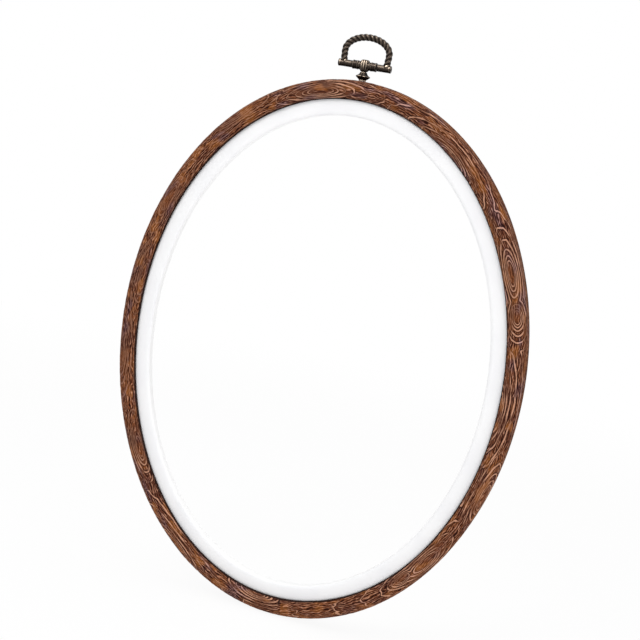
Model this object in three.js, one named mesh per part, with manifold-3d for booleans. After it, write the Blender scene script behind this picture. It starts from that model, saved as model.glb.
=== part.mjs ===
// Oval embroidery hoop with a hanger: a soft outer hoop that grips a stiff inner hoop, and a
// bronze bail on a swivelling head at the top. It stands upright, as it hangs on a wall.
// Millimetres, +Z up, the worked side faces -Y. The origin is the point inside the top of the
// bail where a nail or hook carries the hoop.

import * as THREE from 'three';
import { mergeVertices } from 'three/addons/utils/BufferGeometryUtils.js';
import Module from 'manifold-3d';

const wasm = await Module();
wasm.setup();

// Opening of the hoop
const openingHalfWidth = 70;
const openingHalfHeight = 95;

// Both hoops, measured outwards from the edge of the opening and backwards from the front
const hoopDepth = 9.8;
const hoopGap = 0.3;

// Inner hoop: the white band that shows, and the part of it that the outer hoop covers
const faceWidth = 6.1;
const tuckWidth = 3;
const faceCrestOffset = 1.6;
const faceCrestDepth = 2.3;
const innerEdgeDrop = 0.9;
const shoulderDrop = 3;
const innerHoopWall = 2;
const faceThickness = 3.3;

// Outer hoop
const outerHoopWidth = 7.6;
const lipDepth = 1.6;
const lipThickness = 0.9;
const lipSlope = 0.8;
const crownOffset = 3.7;
const outerShoulderDrop = 3.3;
const backRound = 0.8;

// Hanger bail: a rope-twisted arch cast in one piece with the two barrels at its feet
const bailHalfWidth = 8.8;
const bailRise = 10.62;
const bailSpringHeight = 5;
const ropeRadius = 1.37;
const strandCount = 3;
const strandGroove = 0.2;
const strandPitch = 5.4;
const barrelRadius = 1.35;
const barrelLength = 5.5;
const barrelEdge = 0.2;
const legInset = 2.15;

// Axle pin through the barrels, the collars and the head
const pinRadius = 0.55;
const pinClearance = 0.1;
const pinStandOut = 0.2;
const pinDomeInset = 0.15;

// Hanger head: a ribbed bead with a short cross boss and a neck
const beadRadius = 2.15;
const beadHeight = 4.5;
const beadRibCount = 12;
const beadRibDepth = 0.26;
const bossRadius = 1.6;
const bossReach = 2.35;
const neckRadius = 1;
const neckLength = 0.55;

// Collars between the head and the barrels
const collarRadius = 1.75;
const collarLength = 2.3;
const collarEdge = 0.2;
const barrelGap = 0.25;

// Petal cap under the head
const capHeight = 2.9;
const capTopRadius = 1.4;
const capRimRadius = 2.9;
const capFootRadius = 1.6;
const capRimHeight = 1.2;
const petalCount = 6;
const petalNotch = 0.2;

// Screw from inside the outer hoop, up through the cap into the head, and its washer
const shankRadius = 0.8;
const shankClearance = 0.2;
const screwEndCover = 0.35;
const screwHeadRadius = 1.6;
const screwHeadHeight = 1.1;
const screwSlotWidth = 0.5;
const screwSlotDepth = 0.5;
const washerRadius = 1.7;
const washerThickness = 0.4;
const pocketClearance = 0.2;
const headRecess = 0.3;
const seatGap = 0.1;

// Depth of the hanger's upright axis behind the front of the hoop
const hangerDepth = 5.4;

// Fineness of the curved surfaces
const hoopSegments = 80;
const arcDivisions = 3;
const beadDivisions = 4;
const roundSegments = 16;
const barrelSegments = 24;
const ribSegments = 4;
const petalSegments = 8;
const ropeSides = 12;
const ropeStepsPerTurn = 10;

// Places that follow from the sizes
const innerHoopReach = faceWidth + tuckWidth;
const seatOffset = innerHoopReach + hoopGap;
const outerEdge = faceWidth + outerHoopWidth;
const pinBoreRadius = pinRadius + pinClearance;
const shankBoreRadius = shankRadius + shankClearance;
const collarStart = bossReach + seatGap;
const barrelStart = collarStart + collarLength + barrelGap;
const barEnd = barrelStart + barrelLength;
const barHeight = -(bailRise - ropeRadius);
const beadBottom = -beadHeight / 2;
const capTop = beadBottom - neckLength - seatGap;
const capBottom = capTop - capHeight;
const crownHeight = barHeight + capBottom - seatGap;
const hoopCentreHeight = crownHeight - outerEdge - openingHalfHeight;
const pocketDepth = seatGap + washerThickness + seatGap + screwHeadHeight + headRecess;
const pocketFloor = crownHeight - (outerEdge - seatOffset) + pocketDepth;
const washerTop = pocketFloor - seatGap;
const screwHeadTop = washerTop - washerThickness - seatGap;
const shankTop = barHeight - pinBoreRadius - screwEndCover;

// Finishes
const woodGrain = { color: 0x714b39, roughness: 0.5, metalness: 0 };
const whitePlastic = { color: 0xf2f2f0, roughness: 0.4, metalness: 0 };
const agedBronze = { color: 0x5b5346, roughness: 0.42, metalness: 1 };
const steel = { color: 0xb9babc, roughness: 0.35, metalness: 1 };

// Geometry with its shared corners merged, which is all that a closed solid needs.
function closed(geometry) {
  const bare = geometry.clone();
  bare.deleteAttribute('normal');
  bare.deleteAttribute('uv');
  return mergeVertices(bare, 1e-4);
}

// A closed geometry as a solid that can be joined and cut.
function solid(geometry) {
  const shell = closed(geometry);
  return new wasm.Manifold(new wasm.Mesh({
    numProp: 3,
    vertProperties: new Float32Array(shell.attributes.position.array),
    triVerts: new Uint32Array(shell.index.array),
  }));
}

// The geometry of a joined or cut solid.
function geometryOf(shape) {
  const mesh = shape.getMesh();
  const geometry = new THREE.BufferGeometry();
  geometry.setAttribute('position', new THREE.BufferAttribute(new Float32Array(mesh.vertProperties), 3));
  geometry.setIndex(new THREE.BufferAttribute(new Uint32Array(mesh.triVerts), 1));
  geometry.computeVertexNormals();
  return geometry;
}

// One named sub-part at a place.
function piece(name, geometry, finish, place = [0, 0, 0]) {
  const mesh = new THREE.Mesh(geometry, new THREE.MeshStandardMaterial(finish));
  mesh.name = name;
  mesh.position.set(...place);
  return mesh;
}

// Surface of revolution about +Z; the profile holds radius and height pairs, the lowest first.
function turned(profile, segments, waist = () => 1) {
  const points = profile.map(([radius, height]) => new THREE.Vector2(radius, height));
  const geometry = new THREE.LatheGeometry(points, segments);
  geometry.rotateX(Math.PI / 2);
  const position = geometry.attributes.position;
  for (let i = 0; i < position.count; i += 1) {
    const scale = waist(Math.atan2(position.getY(i), position.getX(i)), position.getZ(i));
    position.setXY(i, position.getX(i) * scale, position.getY(i) * scale);
  }
  return geometry;
}

// Round bar along X from one end to the other, with its edges broken.
function crossBar(radius, from, to, edge, segments) {
  const length = to - from;
  const geometry = turned([
    [0, 0],
    [radius - edge, 0],
    [radius, edge],
    [radius, length - edge],
    [radius - edge, length],
    [0, length],
  ], segments);
  geometry.rotateY(Math.PI / 2);
  geometry.translate(from, 0, 0);
  return geometry;
}

// Plain round bar along X, used to bore holes for the pin.
function crossBore(radius, from, to) {
  const geometry = new THREE.CylinderGeometry(radius, radius, to - from, roundSegments);
  geometry.rotateZ(Math.PI / 2);
  geometry.translate((from + to) / 2, 0, 0);
  return geometry;
}

// Upright round bar between two heights.
function upright(radius, bottom, top, segments) {
  const geometry = new THREE.CylinderGeometry(radius, radius, top - bottom, segments);
  geometry.rotateX(Math.PI / 2);
  geometry.translate(0, 0, (bottom + top) / 2);
  return geometry;
}

// Ring that follows the oval opening at a constant section. The outline holds points whose x is
// the distance outwards from the opening's edge and whose y is the depth behind the front.
function ovalRing(outline) {
  const spine = Math.max(openingHalfWidth, openingHalfHeight);
  const profile = outline.getPoints(arcDivisions).map((p) => new THREE.Vector2(spine + p.x, p.y));
  profile.push(profile[0].clone());
  const geometry = new THREE.LatheGeometry(profile, hoopSegments);
  const position = geometry.attributes.position;
  for (let i = 0; i < position.count; i += 1) {
    const turn = Math.atan2(position.getX(i), position.getZ(i));
    const offset = Math.hypot(position.getX(i), position.getZ(i)) - spine;
    const normal = new THREE.Vector2(
      openingHalfHeight * Math.sin(turn),
      openingHalfWidth * Math.cos(turn),
    ).normalize();
    position.setXYZ(
      i,
      openingHalfWidth * Math.sin(turn) + normal.x * offset,
      position.getY(i) - hangerDepth,
      openingHalfHeight * Math.cos(turn) + normal.y * offset,
    );
  }
  geometry.translate(0, 0, hoopCentreHeight);
  return geometry;
}

// Section of the inner hoop: a crowned face, and a wall behind its outer edge.
function innerHoopOutline() {
  const outline = new THREE.Path();
  const crestRun = innerHoopReach - faceCrestOffset;
  const faceBack = faceCrestDepth + faceThickness;
  outline.moveTo(0, faceBack);
  outline.lineTo(0, faceCrestDepth + innerEdgeDrop);
  outline.absellipse(
    faceCrestOffset, faceCrestDepth + innerEdgeDrop,
    faceCrestOffset, innerEdgeDrop, Math.PI, Math.PI * 1.5, false,
  );
  outline.absellipse(
    faceCrestOffset, faceCrestDepth + shoulderDrop,
    crestRun, shoulderDrop, Math.PI * 1.5, Math.PI * 2, false,
  );
  outline.lineTo(innerHoopReach, hoopDepth);
  outline.lineTo(innerHoopReach - innerHoopWall, hoopDepth);
  outline.lineTo(innerHoopReach - innerHoopWall, faceBack);
  return outline;
}

// Section of the outer hoop: a rounded front with a lip that reaches over the inner hoop.
function outerHoopOutline() {
  const outline = new THREE.Path();
  const crown = faceWidth + crownOffset;
  outline.moveTo(faceWidth, lipDepth + lipThickness);
  outline.lineTo(faceWidth, lipDepth);
  outline.absellipse(
    crown, lipDepth,
    crownOffset, lipDepth, Math.PI, Math.PI * 1.5, false,
  );
  outline.absellipse(
    crown, outerShoulderDrop,
    outerEdge - crown, outerShoulderDrop, Math.PI * 1.5, Math.PI * 2, false,
  );
  outline.lineTo(outerEdge, hoopDepth - backRound);
  outline.absarc(outerEdge - backRound, hoopDepth - backRound, backRound, 0, Math.PI / 2, false);
  outline.lineTo(seatOffset, hoopDepth);
  outline.lineTo(seatOffset, lipDepth + lipThickness + lipSlope);
  return outline;
}

// Outer hoop with the hole for the screw and the pocket that hides its head.
function outerHoop() {
  const body = solid(ovalRing(outerHoopOutline()));
  const wall = outerEdge - seatOffset;
  const pocketRadius = washerRadius + pocketClearance;
  const pocket = solid(upright(pocketRadius, pocketFloor - wall, pocketFloor, barrelSegments));
  const bore = solid(upright(shankBoreRadius, pocketFloor - wall, crownHeight + wall, barrelSegments));
  return geometryOf(body.subtract(pocket).subtract(bore));
}

// Centre line of the bail's arch, from one foot to the other, in the plane of the hoop.
function bailLine() {
  const foot = barEnd - legInset;
  const side = bailHalfWidth;
  const roundness = 0.5523;
  const rise = bailRise - bailSpringHeight;
  const at = (x, z) => new THREE.Vector3(x, 0, z);
  const line = new THREE.CurvePath();
  const leg = (sign) => [
    at(sign * foot, 0),
    at(sign * side, bailSpringHeight / 2),
    at(sign * side, bailSpringHeight),
  ];
  const quarter = (sign) => [
    at(sign * side, bailSpringHeight),
    at(sign * side, bailSpringHeight + rise * roundness),
    at(sign * side * roundness, bailRise),
    at(0, bailRise),
  ];
  line.add(new THREE.QuadraticBezierCurve3(...leg(-1)));
  line.add(new THREE.CubicBezierCurve3(...quarter(-1)));
  line.add(new THREE.CubicBezierCurve3(...quarter(1).reverse()));
  line.add(new THREE.QuadraticBezierCurve3(...leg(1).reverse()));
  return line;
}

// Rope of twisted strands along a line that lies in the plane of the hoop.
function twistedRope(line) {
  const length = line.getLength();
  const steps = Math.round(length / strandPitch * ropeStepsPerTurn);
  const across = new THREE.Vector3(0, 1, 0);
  const corners = [];
  const faces = [];
  const ringPoint = (step, side) => step * ropeSides + side % ropeSides;
  for (let step = 0; step <= steps; step += 1) {
    const centre = line.getPointAt(step / steps);
    const outwards = new THREE.Vector3().crossVectors(across, line.getTangentAt(step / steps));
    const twist = step / steps * length / strandPitch * Math.PI * 2;
    for (let side = 0; side < ropeSides; side += 1) {
      const angle = side / ropeSides * Math.PI * 2;
      const groove = strandGroove * (1 - Math.cos(strandCount * (angle - twist))) / 2;
      const point = centre.clone()
        .addScaledVector(outwards, Math.cos(angle) * (ropeRadius - groove))
        .addScaledVector(across, Math.sin(angle) * (ropeRadius - groove));
      corners.push(...point.toArray());
    }
  }
  for (let step = 0; step < steps; step += 1) {
    for (let side = 0; side < ropeSides; side += 1) {
      const a = ringPoint(step, side);
      const b = ringPoint(step, side + 1);
      const c = ringPoint(step + 1, side + 1);
      const d = ringPoint(step + 1, side);
      faces.push(a, b, c, a, c, d);
    }
  }
  const start = corners.length / 3;
  corners.push(...line.getPointAt(0).toArray(), ...line.getPointAt(1).toArray());
  for (let side = 0; side < ropeSides; side += 1) {
    faces.push(start, ringPoint(0, side + 1), ringPoint(0, side));
    faces.push(start + 1, ringPoint(steps, side), ringPoint(steps, side + 1));
  }
  const geometry = new THREE.BufferGeometry();
  geometry.setAttribute('position', new THREE.Float32BufferAttribute(corners, 3));
  geometry.setIndex(faces);
  return geometry;
}

// Bail: the twisted arch joined to its two barrels and bored for the pin.
function bail() {
  let body = solid(twistedRope(bailLine()));
  for (const [from, to] of [[-barEnd, -barrelStart], [barrelStart, barEnd]]) {
    body = body.add(solid(crossBar(barrelRadius, from, to, barrelEdge, barrelSegments)));
  }
  return geometryOf(body.subtract(solid(crossBore(pinBoreRadius, -barEnd - 1, barEnd + 1))));
}

// Pin with a low dome at each end.
function axlePin() {
  const reach = barEnd + pinStandOut;
  return crossBar(pinRadius, -reach, reach, pinDomeInset, roundSegments);
}

// Head: ribbed bead, cross boss and neck in one casting, bored for the pin and the screw.
function hangerHead() {
  const half = beadHeight / 2;
  const outline = new THREE.Path();
  outline.moveTo(0, -half);
  outline.lineTo(neckRadius, -half);
  outline.absellipse(neckRadius, 0, beadRadius - neckRadius, half, -Math.PI / 2, Math.PI / 2, false);
  outline.lineTo(0, half);
  const profile = outline.getPoints(beadDivisions).map((p) => [p.x, p.y]);
  const ribbed = (angle) => {
    const valley = 1 - Math.abs(Math.cos(angle * beadRibCount / 2));
    return 1 - beadRibDepth / beadRadius * valley;
  };
  const bead = solid(turned(profile, beadRibCount * ribSegments, ribbed));
  const boss = solid(crossBar(bossRadius, -bossReach, bossReach, collarEdge, barrelSegments));
  const neck = solid(upright(neckRadius, beadBottom - neckLength, 0, barrelSegments));
  const pinBore = solid(crossBore(pinBoreRadius, -bossReach - 1, bossReach + 1));
  const shankRoom = shankTop - barHeight + seatGap;
  const screwBore = solid(upright(shankRadius + seatGap, beadBottom - neckLength - 1, shankRoom, roundSegments));
  return geometryOf(bead.add(boss).add(neck).subtract(pinBore).subtract(screwBore));
}

// Collar: a short tube on the pin.
function collar() {
  const geometry = turned([
    [pinBoreRadius, 0],
    [collarRadius - collarEdge, 0],
    [collarRadius, collarEdge],
    [collarRadius, collarLength - collarEdge],
    [collarRadius - collarEdge, collarLength],
    [pinBoreRadius, collarLength],
    [pinBoreRadius, 0],
  ], barrelSegments);
  geometry.rotateY(Math.PI / 2);
  return geometry;
}

// Petal cap: a small bell flower whose rim spreads over the crown of the hoop.
function petalCap() {
  const petals = (angle, height) => {
    const spread = Math.sin(Math.PI * Math.min(1, Math.max(0, height / capHeight)));
    const notch = 1 - Math.abs(Math.cos(angle * petalCount / 2));
    return 1 - petalNotch * spread * notch;
  };
  const bore = shankRadius + shankClearance;
  const outline = new THREE.SplineCurve([
    new THREE.Vector2(capFootRadius, 0),
    new THREE.Vector2(capRimRadius - capRimHeight / 4, capRimHeight / 2),
    new THREE.Vector2(capRimRadius, capRimHeight),
    new THREE.Vector2((capRimRadius + capTopRadius) / 2, (capRimHeight + capHeight) / 2),
    new THREE.Vector2(capTopRadius, capHeight),
  ]);
  const profile = outline.getPoints(beadDivisions * 2).map((p) => [p.x, p.y]);
  const body = solid(turned([[0, 0], ...profile, [0, capHeight]], petalCount * petalSegments, petals));
  return geometryOf(body.subtract(solid(upright(bore, -1, capHeight + 1, roundSegments))));
}

// Screw with a slotted head, its top face under the washer and its shank up in the head.
function hangerScrew() {
  const edge = screwHeadHeight / 4;
  const length = shankTop - screwHeadTop;
  const body = solid(turned([
    [0, -screwHeadHeight],
    [screwHeadRadius - edge, -screwHeadHeight],
    [screwHeadRadius, edge - screwHeadHeight],
    [screwHeadRadius, 0],
    [shankRadius, 0],
    [shankRadius, length - edge],
    [shankRadius - edge, length],
    [0, length],
  ], barrelSegments));
  const slot = new THREE.BoxGeometry(screwHeadRadius * 3, screwSlotWidth, screwSlotDepth * 2);
  slot.translate(0, 0, -screwHeadHeight);
  return geometryOf(body.subtract(solid(slot)));
}

// Washer between the screw's head and the floor of the pocket.
function screwWasher() {
  return turned([
    [shankBoreRadius, 0],
    [washerRadius, 0],
    [washerRadius, washerThickness],
    [shankBoreRadius, washerThickness],
    [shankBoreRadius, 0],
  ], barrelSegments);
}

const hoops = new THREE.Group();
hoops.add(piece('outer_hoop', outerHoop(), woodGrain));
hoops.add(piece('inner_hoop', closed(ovalRing(innerHoopOutline())), whitePlastic));
hoops.add(piece('screw_washer', screwWasher(), steel, [0, 0, washerTop - washerThickness]));

const hanger = new THREE.Group();
hanger.position.z = barHeight;
hanger.add(piece('bail', bail(), agedBronze));
hanger.add(piece('axle_pin', axlePin(), agedBronze));
hanger.add(piece('hanger_head', hangerHead(), agedBronze));
hanger.add(piece('collar_left', collar(), agedBronze, [-collarStart - collarLength, 0, 0]));
hanger.add(piece('collar_right', collar(), agedBronze, [collarStart, 0, 0]));
hanger.add(piece('petal_cap', petalCap(), agedBronze, [0, 0, capBottom]));

const embroideryHoop = new THREE.Group();
embroideryHoop.add(hoops);
embroideryHoop.add(hanger);
embroideryHoop.add(piece('hanger_screw', hangerScrew(), steel, [0, 0, screwHeadTop]));

export default embroideryHoop;
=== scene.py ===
"""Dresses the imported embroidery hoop: a wood-grain outer hoop, a white inner hoop and a bronze hanger.

Everything is in metres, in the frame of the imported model: +Z up along the oval, the worked side
faces -Y. The origin is the point of the bail that hangs on a nail.
"""

import logging
import math
from dataclasses import dataclass, field
from enum import Enum
from typing import Iterable, Union

import bpy
import numpy as np
from mathutils import Matrix, Vector


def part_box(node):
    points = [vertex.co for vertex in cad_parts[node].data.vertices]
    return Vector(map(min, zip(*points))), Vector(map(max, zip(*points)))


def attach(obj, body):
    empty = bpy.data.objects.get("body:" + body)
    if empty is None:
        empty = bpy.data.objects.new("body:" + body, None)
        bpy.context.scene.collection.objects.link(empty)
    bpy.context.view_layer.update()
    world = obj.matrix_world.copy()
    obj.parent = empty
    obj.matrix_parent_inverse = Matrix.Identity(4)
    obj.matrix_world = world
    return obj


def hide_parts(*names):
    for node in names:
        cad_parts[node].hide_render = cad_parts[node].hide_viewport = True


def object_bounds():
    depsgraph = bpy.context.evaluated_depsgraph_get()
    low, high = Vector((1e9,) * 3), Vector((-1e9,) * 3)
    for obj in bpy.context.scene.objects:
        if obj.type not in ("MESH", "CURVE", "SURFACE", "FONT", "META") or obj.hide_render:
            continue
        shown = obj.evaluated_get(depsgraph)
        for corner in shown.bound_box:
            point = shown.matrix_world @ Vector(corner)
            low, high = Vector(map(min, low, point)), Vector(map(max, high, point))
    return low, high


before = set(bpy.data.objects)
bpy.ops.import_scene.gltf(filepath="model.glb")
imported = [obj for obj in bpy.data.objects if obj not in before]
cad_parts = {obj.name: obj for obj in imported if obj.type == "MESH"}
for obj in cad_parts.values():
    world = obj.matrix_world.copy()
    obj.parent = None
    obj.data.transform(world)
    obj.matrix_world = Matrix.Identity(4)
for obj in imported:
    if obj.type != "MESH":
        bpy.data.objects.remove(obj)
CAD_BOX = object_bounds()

LOG = logging.getLogger("embroidery_hoop")
MM = 0.001
FULL_TURN = 2 * math.pi

# Limits for the meshes, in metres
WELD = 1e-6
SHORTEST_EDGE = 0.02 * MM
SEAM_FADE = 0.6 * MM

# Limits for the outlines, in millimetres or without a unit
SAME_POINT = 1e-6
STRAIGHT = 1e-4
CORNER_SHARE = 0.48
PAST_END = 1.0
COARSE = 30.0

# Names of what the meshes carry
BAND_MAP = "band"
# crest: how far a point stands proud, with a painted highlight added on the metal pieces
CREST = "crest"
RUN = "run"
FACING = "facing"
CARVED = "carved"
RIBBED = "ribbed"

# Wear and painted highlight: the angle of a sharp edge, the side that gets a painted highlight, and
# percentiles from groove to crest
SHARP_ANGLE = math.radians(50)
HIGHLIGHT_SIDE = (0.0, -0.8, 0.6)
BEND_RANGE = (4, 92)
REACH_RANGE = (5, 97)

Colour = tuple[float, float, float, float]
Point = tuple[float, float]
Corner = tuple[float, float, float]
Node = bpy.types.Node
Piece = bpy.types.Object
Socket = bpy.types.NodeSocket
Tree = bpy.types.NodeTree
Term = Union[float, int, Socket]


class Slot(Enum):
    """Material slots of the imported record."""

    WOOD = "wood_grain_vinyl"
    WHITE = "white_plastic"
    BRONZE = "antique_bronze"
    STEEL = "steel"


class Body(Enum):
    """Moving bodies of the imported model."""

    BAIL = "bail"
    HEAD = "hanger_head"
    OUTER = "outer_hoop"
    INNER = "inner_hoop"


class Cut(Enum):
    """Ways of combining two closed meshes."""

    JOIN = "UNION"
    REMOVE = "DIFFERENCE"


class Kind(Enum):
    """Kinds of node tree."""

    SHADER = "ShaderNodeTree"
    GEOMETRY = "GeometryNodeTree"


class Layer(Enum):
    """Noise layers of the grain: a shift along the band, and a feature's length and width in millimetres."""

    WOBBLE = (0.0, 4.5, 1.8)
    STRENGTH = (33.0, 8.0, 4.0)
    BEND = (3.7, 8.0, 4.0)
    FINE = (12.1, 2.25, 1.2)
    DASH = (5.3, 2.3, 0.44)
    FLECK = (61.7, 1.4, 0.34)
    PATCH = (21.3, 8.0, 4.0)
    VIOLET = (47.9, 10.4, 4.0)


def paint(red: int, green: int, blue: int) -> Colour:
    """Turns a colour as a screen shows it into the linear colour that a shader reads.

    Args:
        red, green, blue: values from 0 to 255.

    Returns:
        The linear colour, with an alpha of 1.
    """
    def linear(value: int) -> float:
        """Undoes the screen's curve for one value."""
        share = value / 255
        return share / 12.92 if share <= 0.04045 else ((share + 0.055) / 1.055) ** 2.4

    return (linear(red), linear(green), linear(blue), 1.0)


def spaced(values: dict[str, object]) -> dict[str, object]:
    """Returns values by names in which _ has become a space."""
    return {label.replace("_", " "): value for label, value in values.items()}


class Graph:
    """Writes nodes into a tree; most methods return the socket that they make."""

    def __init__(self, tree: Tree) -> None:
        """Keeps the tree that is written into."""
        self.tree = tree

    def feed(self, socket: Socket, value: object) -> None:
        """Links a socket into another one, or sets the value there.

        Args:
            socket: the input that is fed.
            value: a socket, or a plain value.
        """
        if isinstance(value, Socket):
            self.tree.links.new(value, socket)
        else:
            socket.default_value = value

    def fed(self, made: Node, terms: Iterable[object]) -> Socket:
        """Feeds the inputs of a node in their order.

        Args:
            made: the node.
            terms: sockets or plain values.

        Returns:
            The node's first output.
        """
        for socket, term in zip(made.inputs, terms):
            self.feed(socket, term)
        return made.outputs[0]

    def node(self, kind: str, inputs: dict[str, object] | None = None, **settings: object) -> Node:
        """Adds a node.

        Args:
            kind: the node's type name.
            inputs: values or sockets by the name of the input.
            settings: properties of the node.

        Returns:
            The new node.
        """
        made = self.tree.nodes.new(kind)
        for name, value in settings.items():
            setattr(made, name, value)
        for name, value in (inputs or {}).items():
            socket = next(s for s in made.inputs if s.name == name and s.enabled)
            self.feed(socket, value)
        return made

    def out(self, kind: str, inputs: dict[str, object] | None = None, **settings: object) -> Socket:
        """Adds a node and returns its first output."""
        return self.node(kind, inputs, **settings).outputs[0]

    def math(self, operation: str, *terms: Term) -> Socket:
        """Adds a Math node on up to three terms and returns its output."""
        return self.fed(self.node("ShaderNodeMath", operation=operation), terms)

    def times(self, first: Term, second: Term) -> Socket:
        """Multiplies two numbers."""
        return self.math("MULTIPLY", first, second)

    def minus(self, first: Term, second: Term) -> Socket:
        """Takes the second number from the first."""
        return self.math("SUBTRACT", first, second)

    def line(self, value: Term, slope: Term, start: Term) -> Socket:
        """Multiplies a number by a slope and adds a start."""
        return self.math("MULTIPLY_ADD", value, slope, start)

    def larger(self, first: Term, second: Term) -> Socket:
        """Returns the larger of two numbers."""
        return self.math("MAXIMUM", first, second)

    def vector_math(self, operation: str, *terms: object) -> Socket:
        """Adds a Vector Math node on up to two vectors and returns its output."""
        return self.fed(self.node("ShaderNodeVectorMath", operation=operation), terms)

    def scaled(self, vector: Socket, factor: Term) -> Socket:
        """Multiplies a vector by a number."""
        return self.out("ShaderNodeVectorMath", {"Vector": vector, "Scale": factor}, operation="SCALE")

    def length(self, vector: Socket) -> Socket:
        """Returns the length of a vector."""
        return self.node("ShaderNodeVectorMath", {"Vector": vector}, operation="LENGTH").outputs["Value"]

    def combine(self, x: Term = 0.0, y: Term = 0.0, z: Term = 0.0) -> Socket:
        """Puts three numbers together into a vector."""
        return self.out("ShaderNodeCombineXYZ", {"X": x, "Y": y, "Z": z})

    def separate(self, vector: Socket) -> list[Socket]:
        """Takes a vector apart into its three numbers."""
        return list(self.node("ShaderNodeSeparateXYZ", {"Vector": vector}).outputs)

    def place(self) -> Socket:
        """Reads the place on the piece, as Object coordinates."""
        return self.node("ShaderNodeTexCoord").outputs["Object"]

    def band(self) -> list[Socket]:
        """Reads a hoop's own map: millimetres along and across its band."""
        return self.separate(self.scaled(self.out("ShaderNodeUVMap", uv_map=BAND_MAP), 1 / MM))[:2]

    def step(self, value: Term, low: Term, high: Term, to_low: Term = 0.0, to_high: Term = 1.0) -> Socket:
        """Adds a smooth step.

        Args:
            value: what is compared.
            low, high: where the step starts and ends.
            to_low, to_high: the results below and above it.

        Returns:
            The output socket.
        """
        made = self.node("ShaderNodeMapRange", interpolation_type="SMOOTHSTEP")
        return self.fed(made, (value, low, high, to_low, to_high))

    def fall(self, value: Term, low: Term, high: Term) -> Socket:
        """Adds a smooth step down from 1 to 0."""
        return self.step(value, low, high, 1.0, 0.0)

    def blend(self, share: Term, first: object, second: object) -> Socket:
        """Mixes two colours.

        Args:
            share: how much of the second one.
            first, second: colours or sockets.

        Returns:
            The output socket.
        """
        made = self.node("ShaderNodeMix", data_type="RGBA")
        for index, term in ((0, share), (6, first), (7, second)):
            self.feed(made.inputs[index], term)
        return made.outputs[2]

    def noise(self, vector: Socket, scale: Term = 1.0, detail: float = 1.0, roughness: float = 0.5,
              flat: bool = False) -> Socket:
        """Adds a noise.

        Args:
            vector: where it is read.
            scale: how fine it is.
            detail: how many finer layers it has.
            roughness: how strong these are.
            flat: True for a pattern in two dimensions.

        Returns:
            Its grey value.
        """
        return self.out(
            "ShaderNodeTexNoise",
            {"Vector": vector, "Scale": scale, "Detail": detail, "Roughness": roughness},
            noise_dimensions="2D" if flat else "3D",
        )


def group_tree(name: str, kind: Kind, inputs: dict[str, object],
               outputs: dict[str, str]) -> tuple[Tree, Graph, dict[str, Socket], Node]:
    """Starts a node group with named inputs and outputs.

    Args:
        name: the group's name.
        kind: which kind of tree.
        inputs: default values by name; a socket's type name stands for a socket without a default.
        outputs: socket types by name.

    Returns:
        The tree, a graph that writes into it, its input sockets by name and its output node.
    """
    tree = bpy.data.node_groups.new(name, kind.value)
    plain = {float: "NodeSocketFloat", int: "NodeSocketInt", tuple: "NodeSocketVector"}
    for label, value in inputs.items():
        socket_type = value if isinstance(value, str) else plain[type(value)]
        socket = tree.interface.new_socket(label, in_out="INPUT", socket_type=socket_type)
        if not isinstance(value, str):
            socket.default_value = value
    for label, socket_type in outputs.items():
        tree.interface.new_socket(label, in_out="OUTPUT", socket_type=socket_type)
    source = tree.nodes.new("NodeGroupInput")
    sink = tree.nodes.new("NodeGroupOutput")
    return tree, Graph(tree), {s.name: s for s in source.outputs if s.name}, sink


@dataclass(frozen=True)
class Knot:
    """Middle of a set of nested oval rings in the grain; all lengths are in millimetres."""

    along: float
    across: float
    length: float = 5.0
    width: float = 1.4


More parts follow.
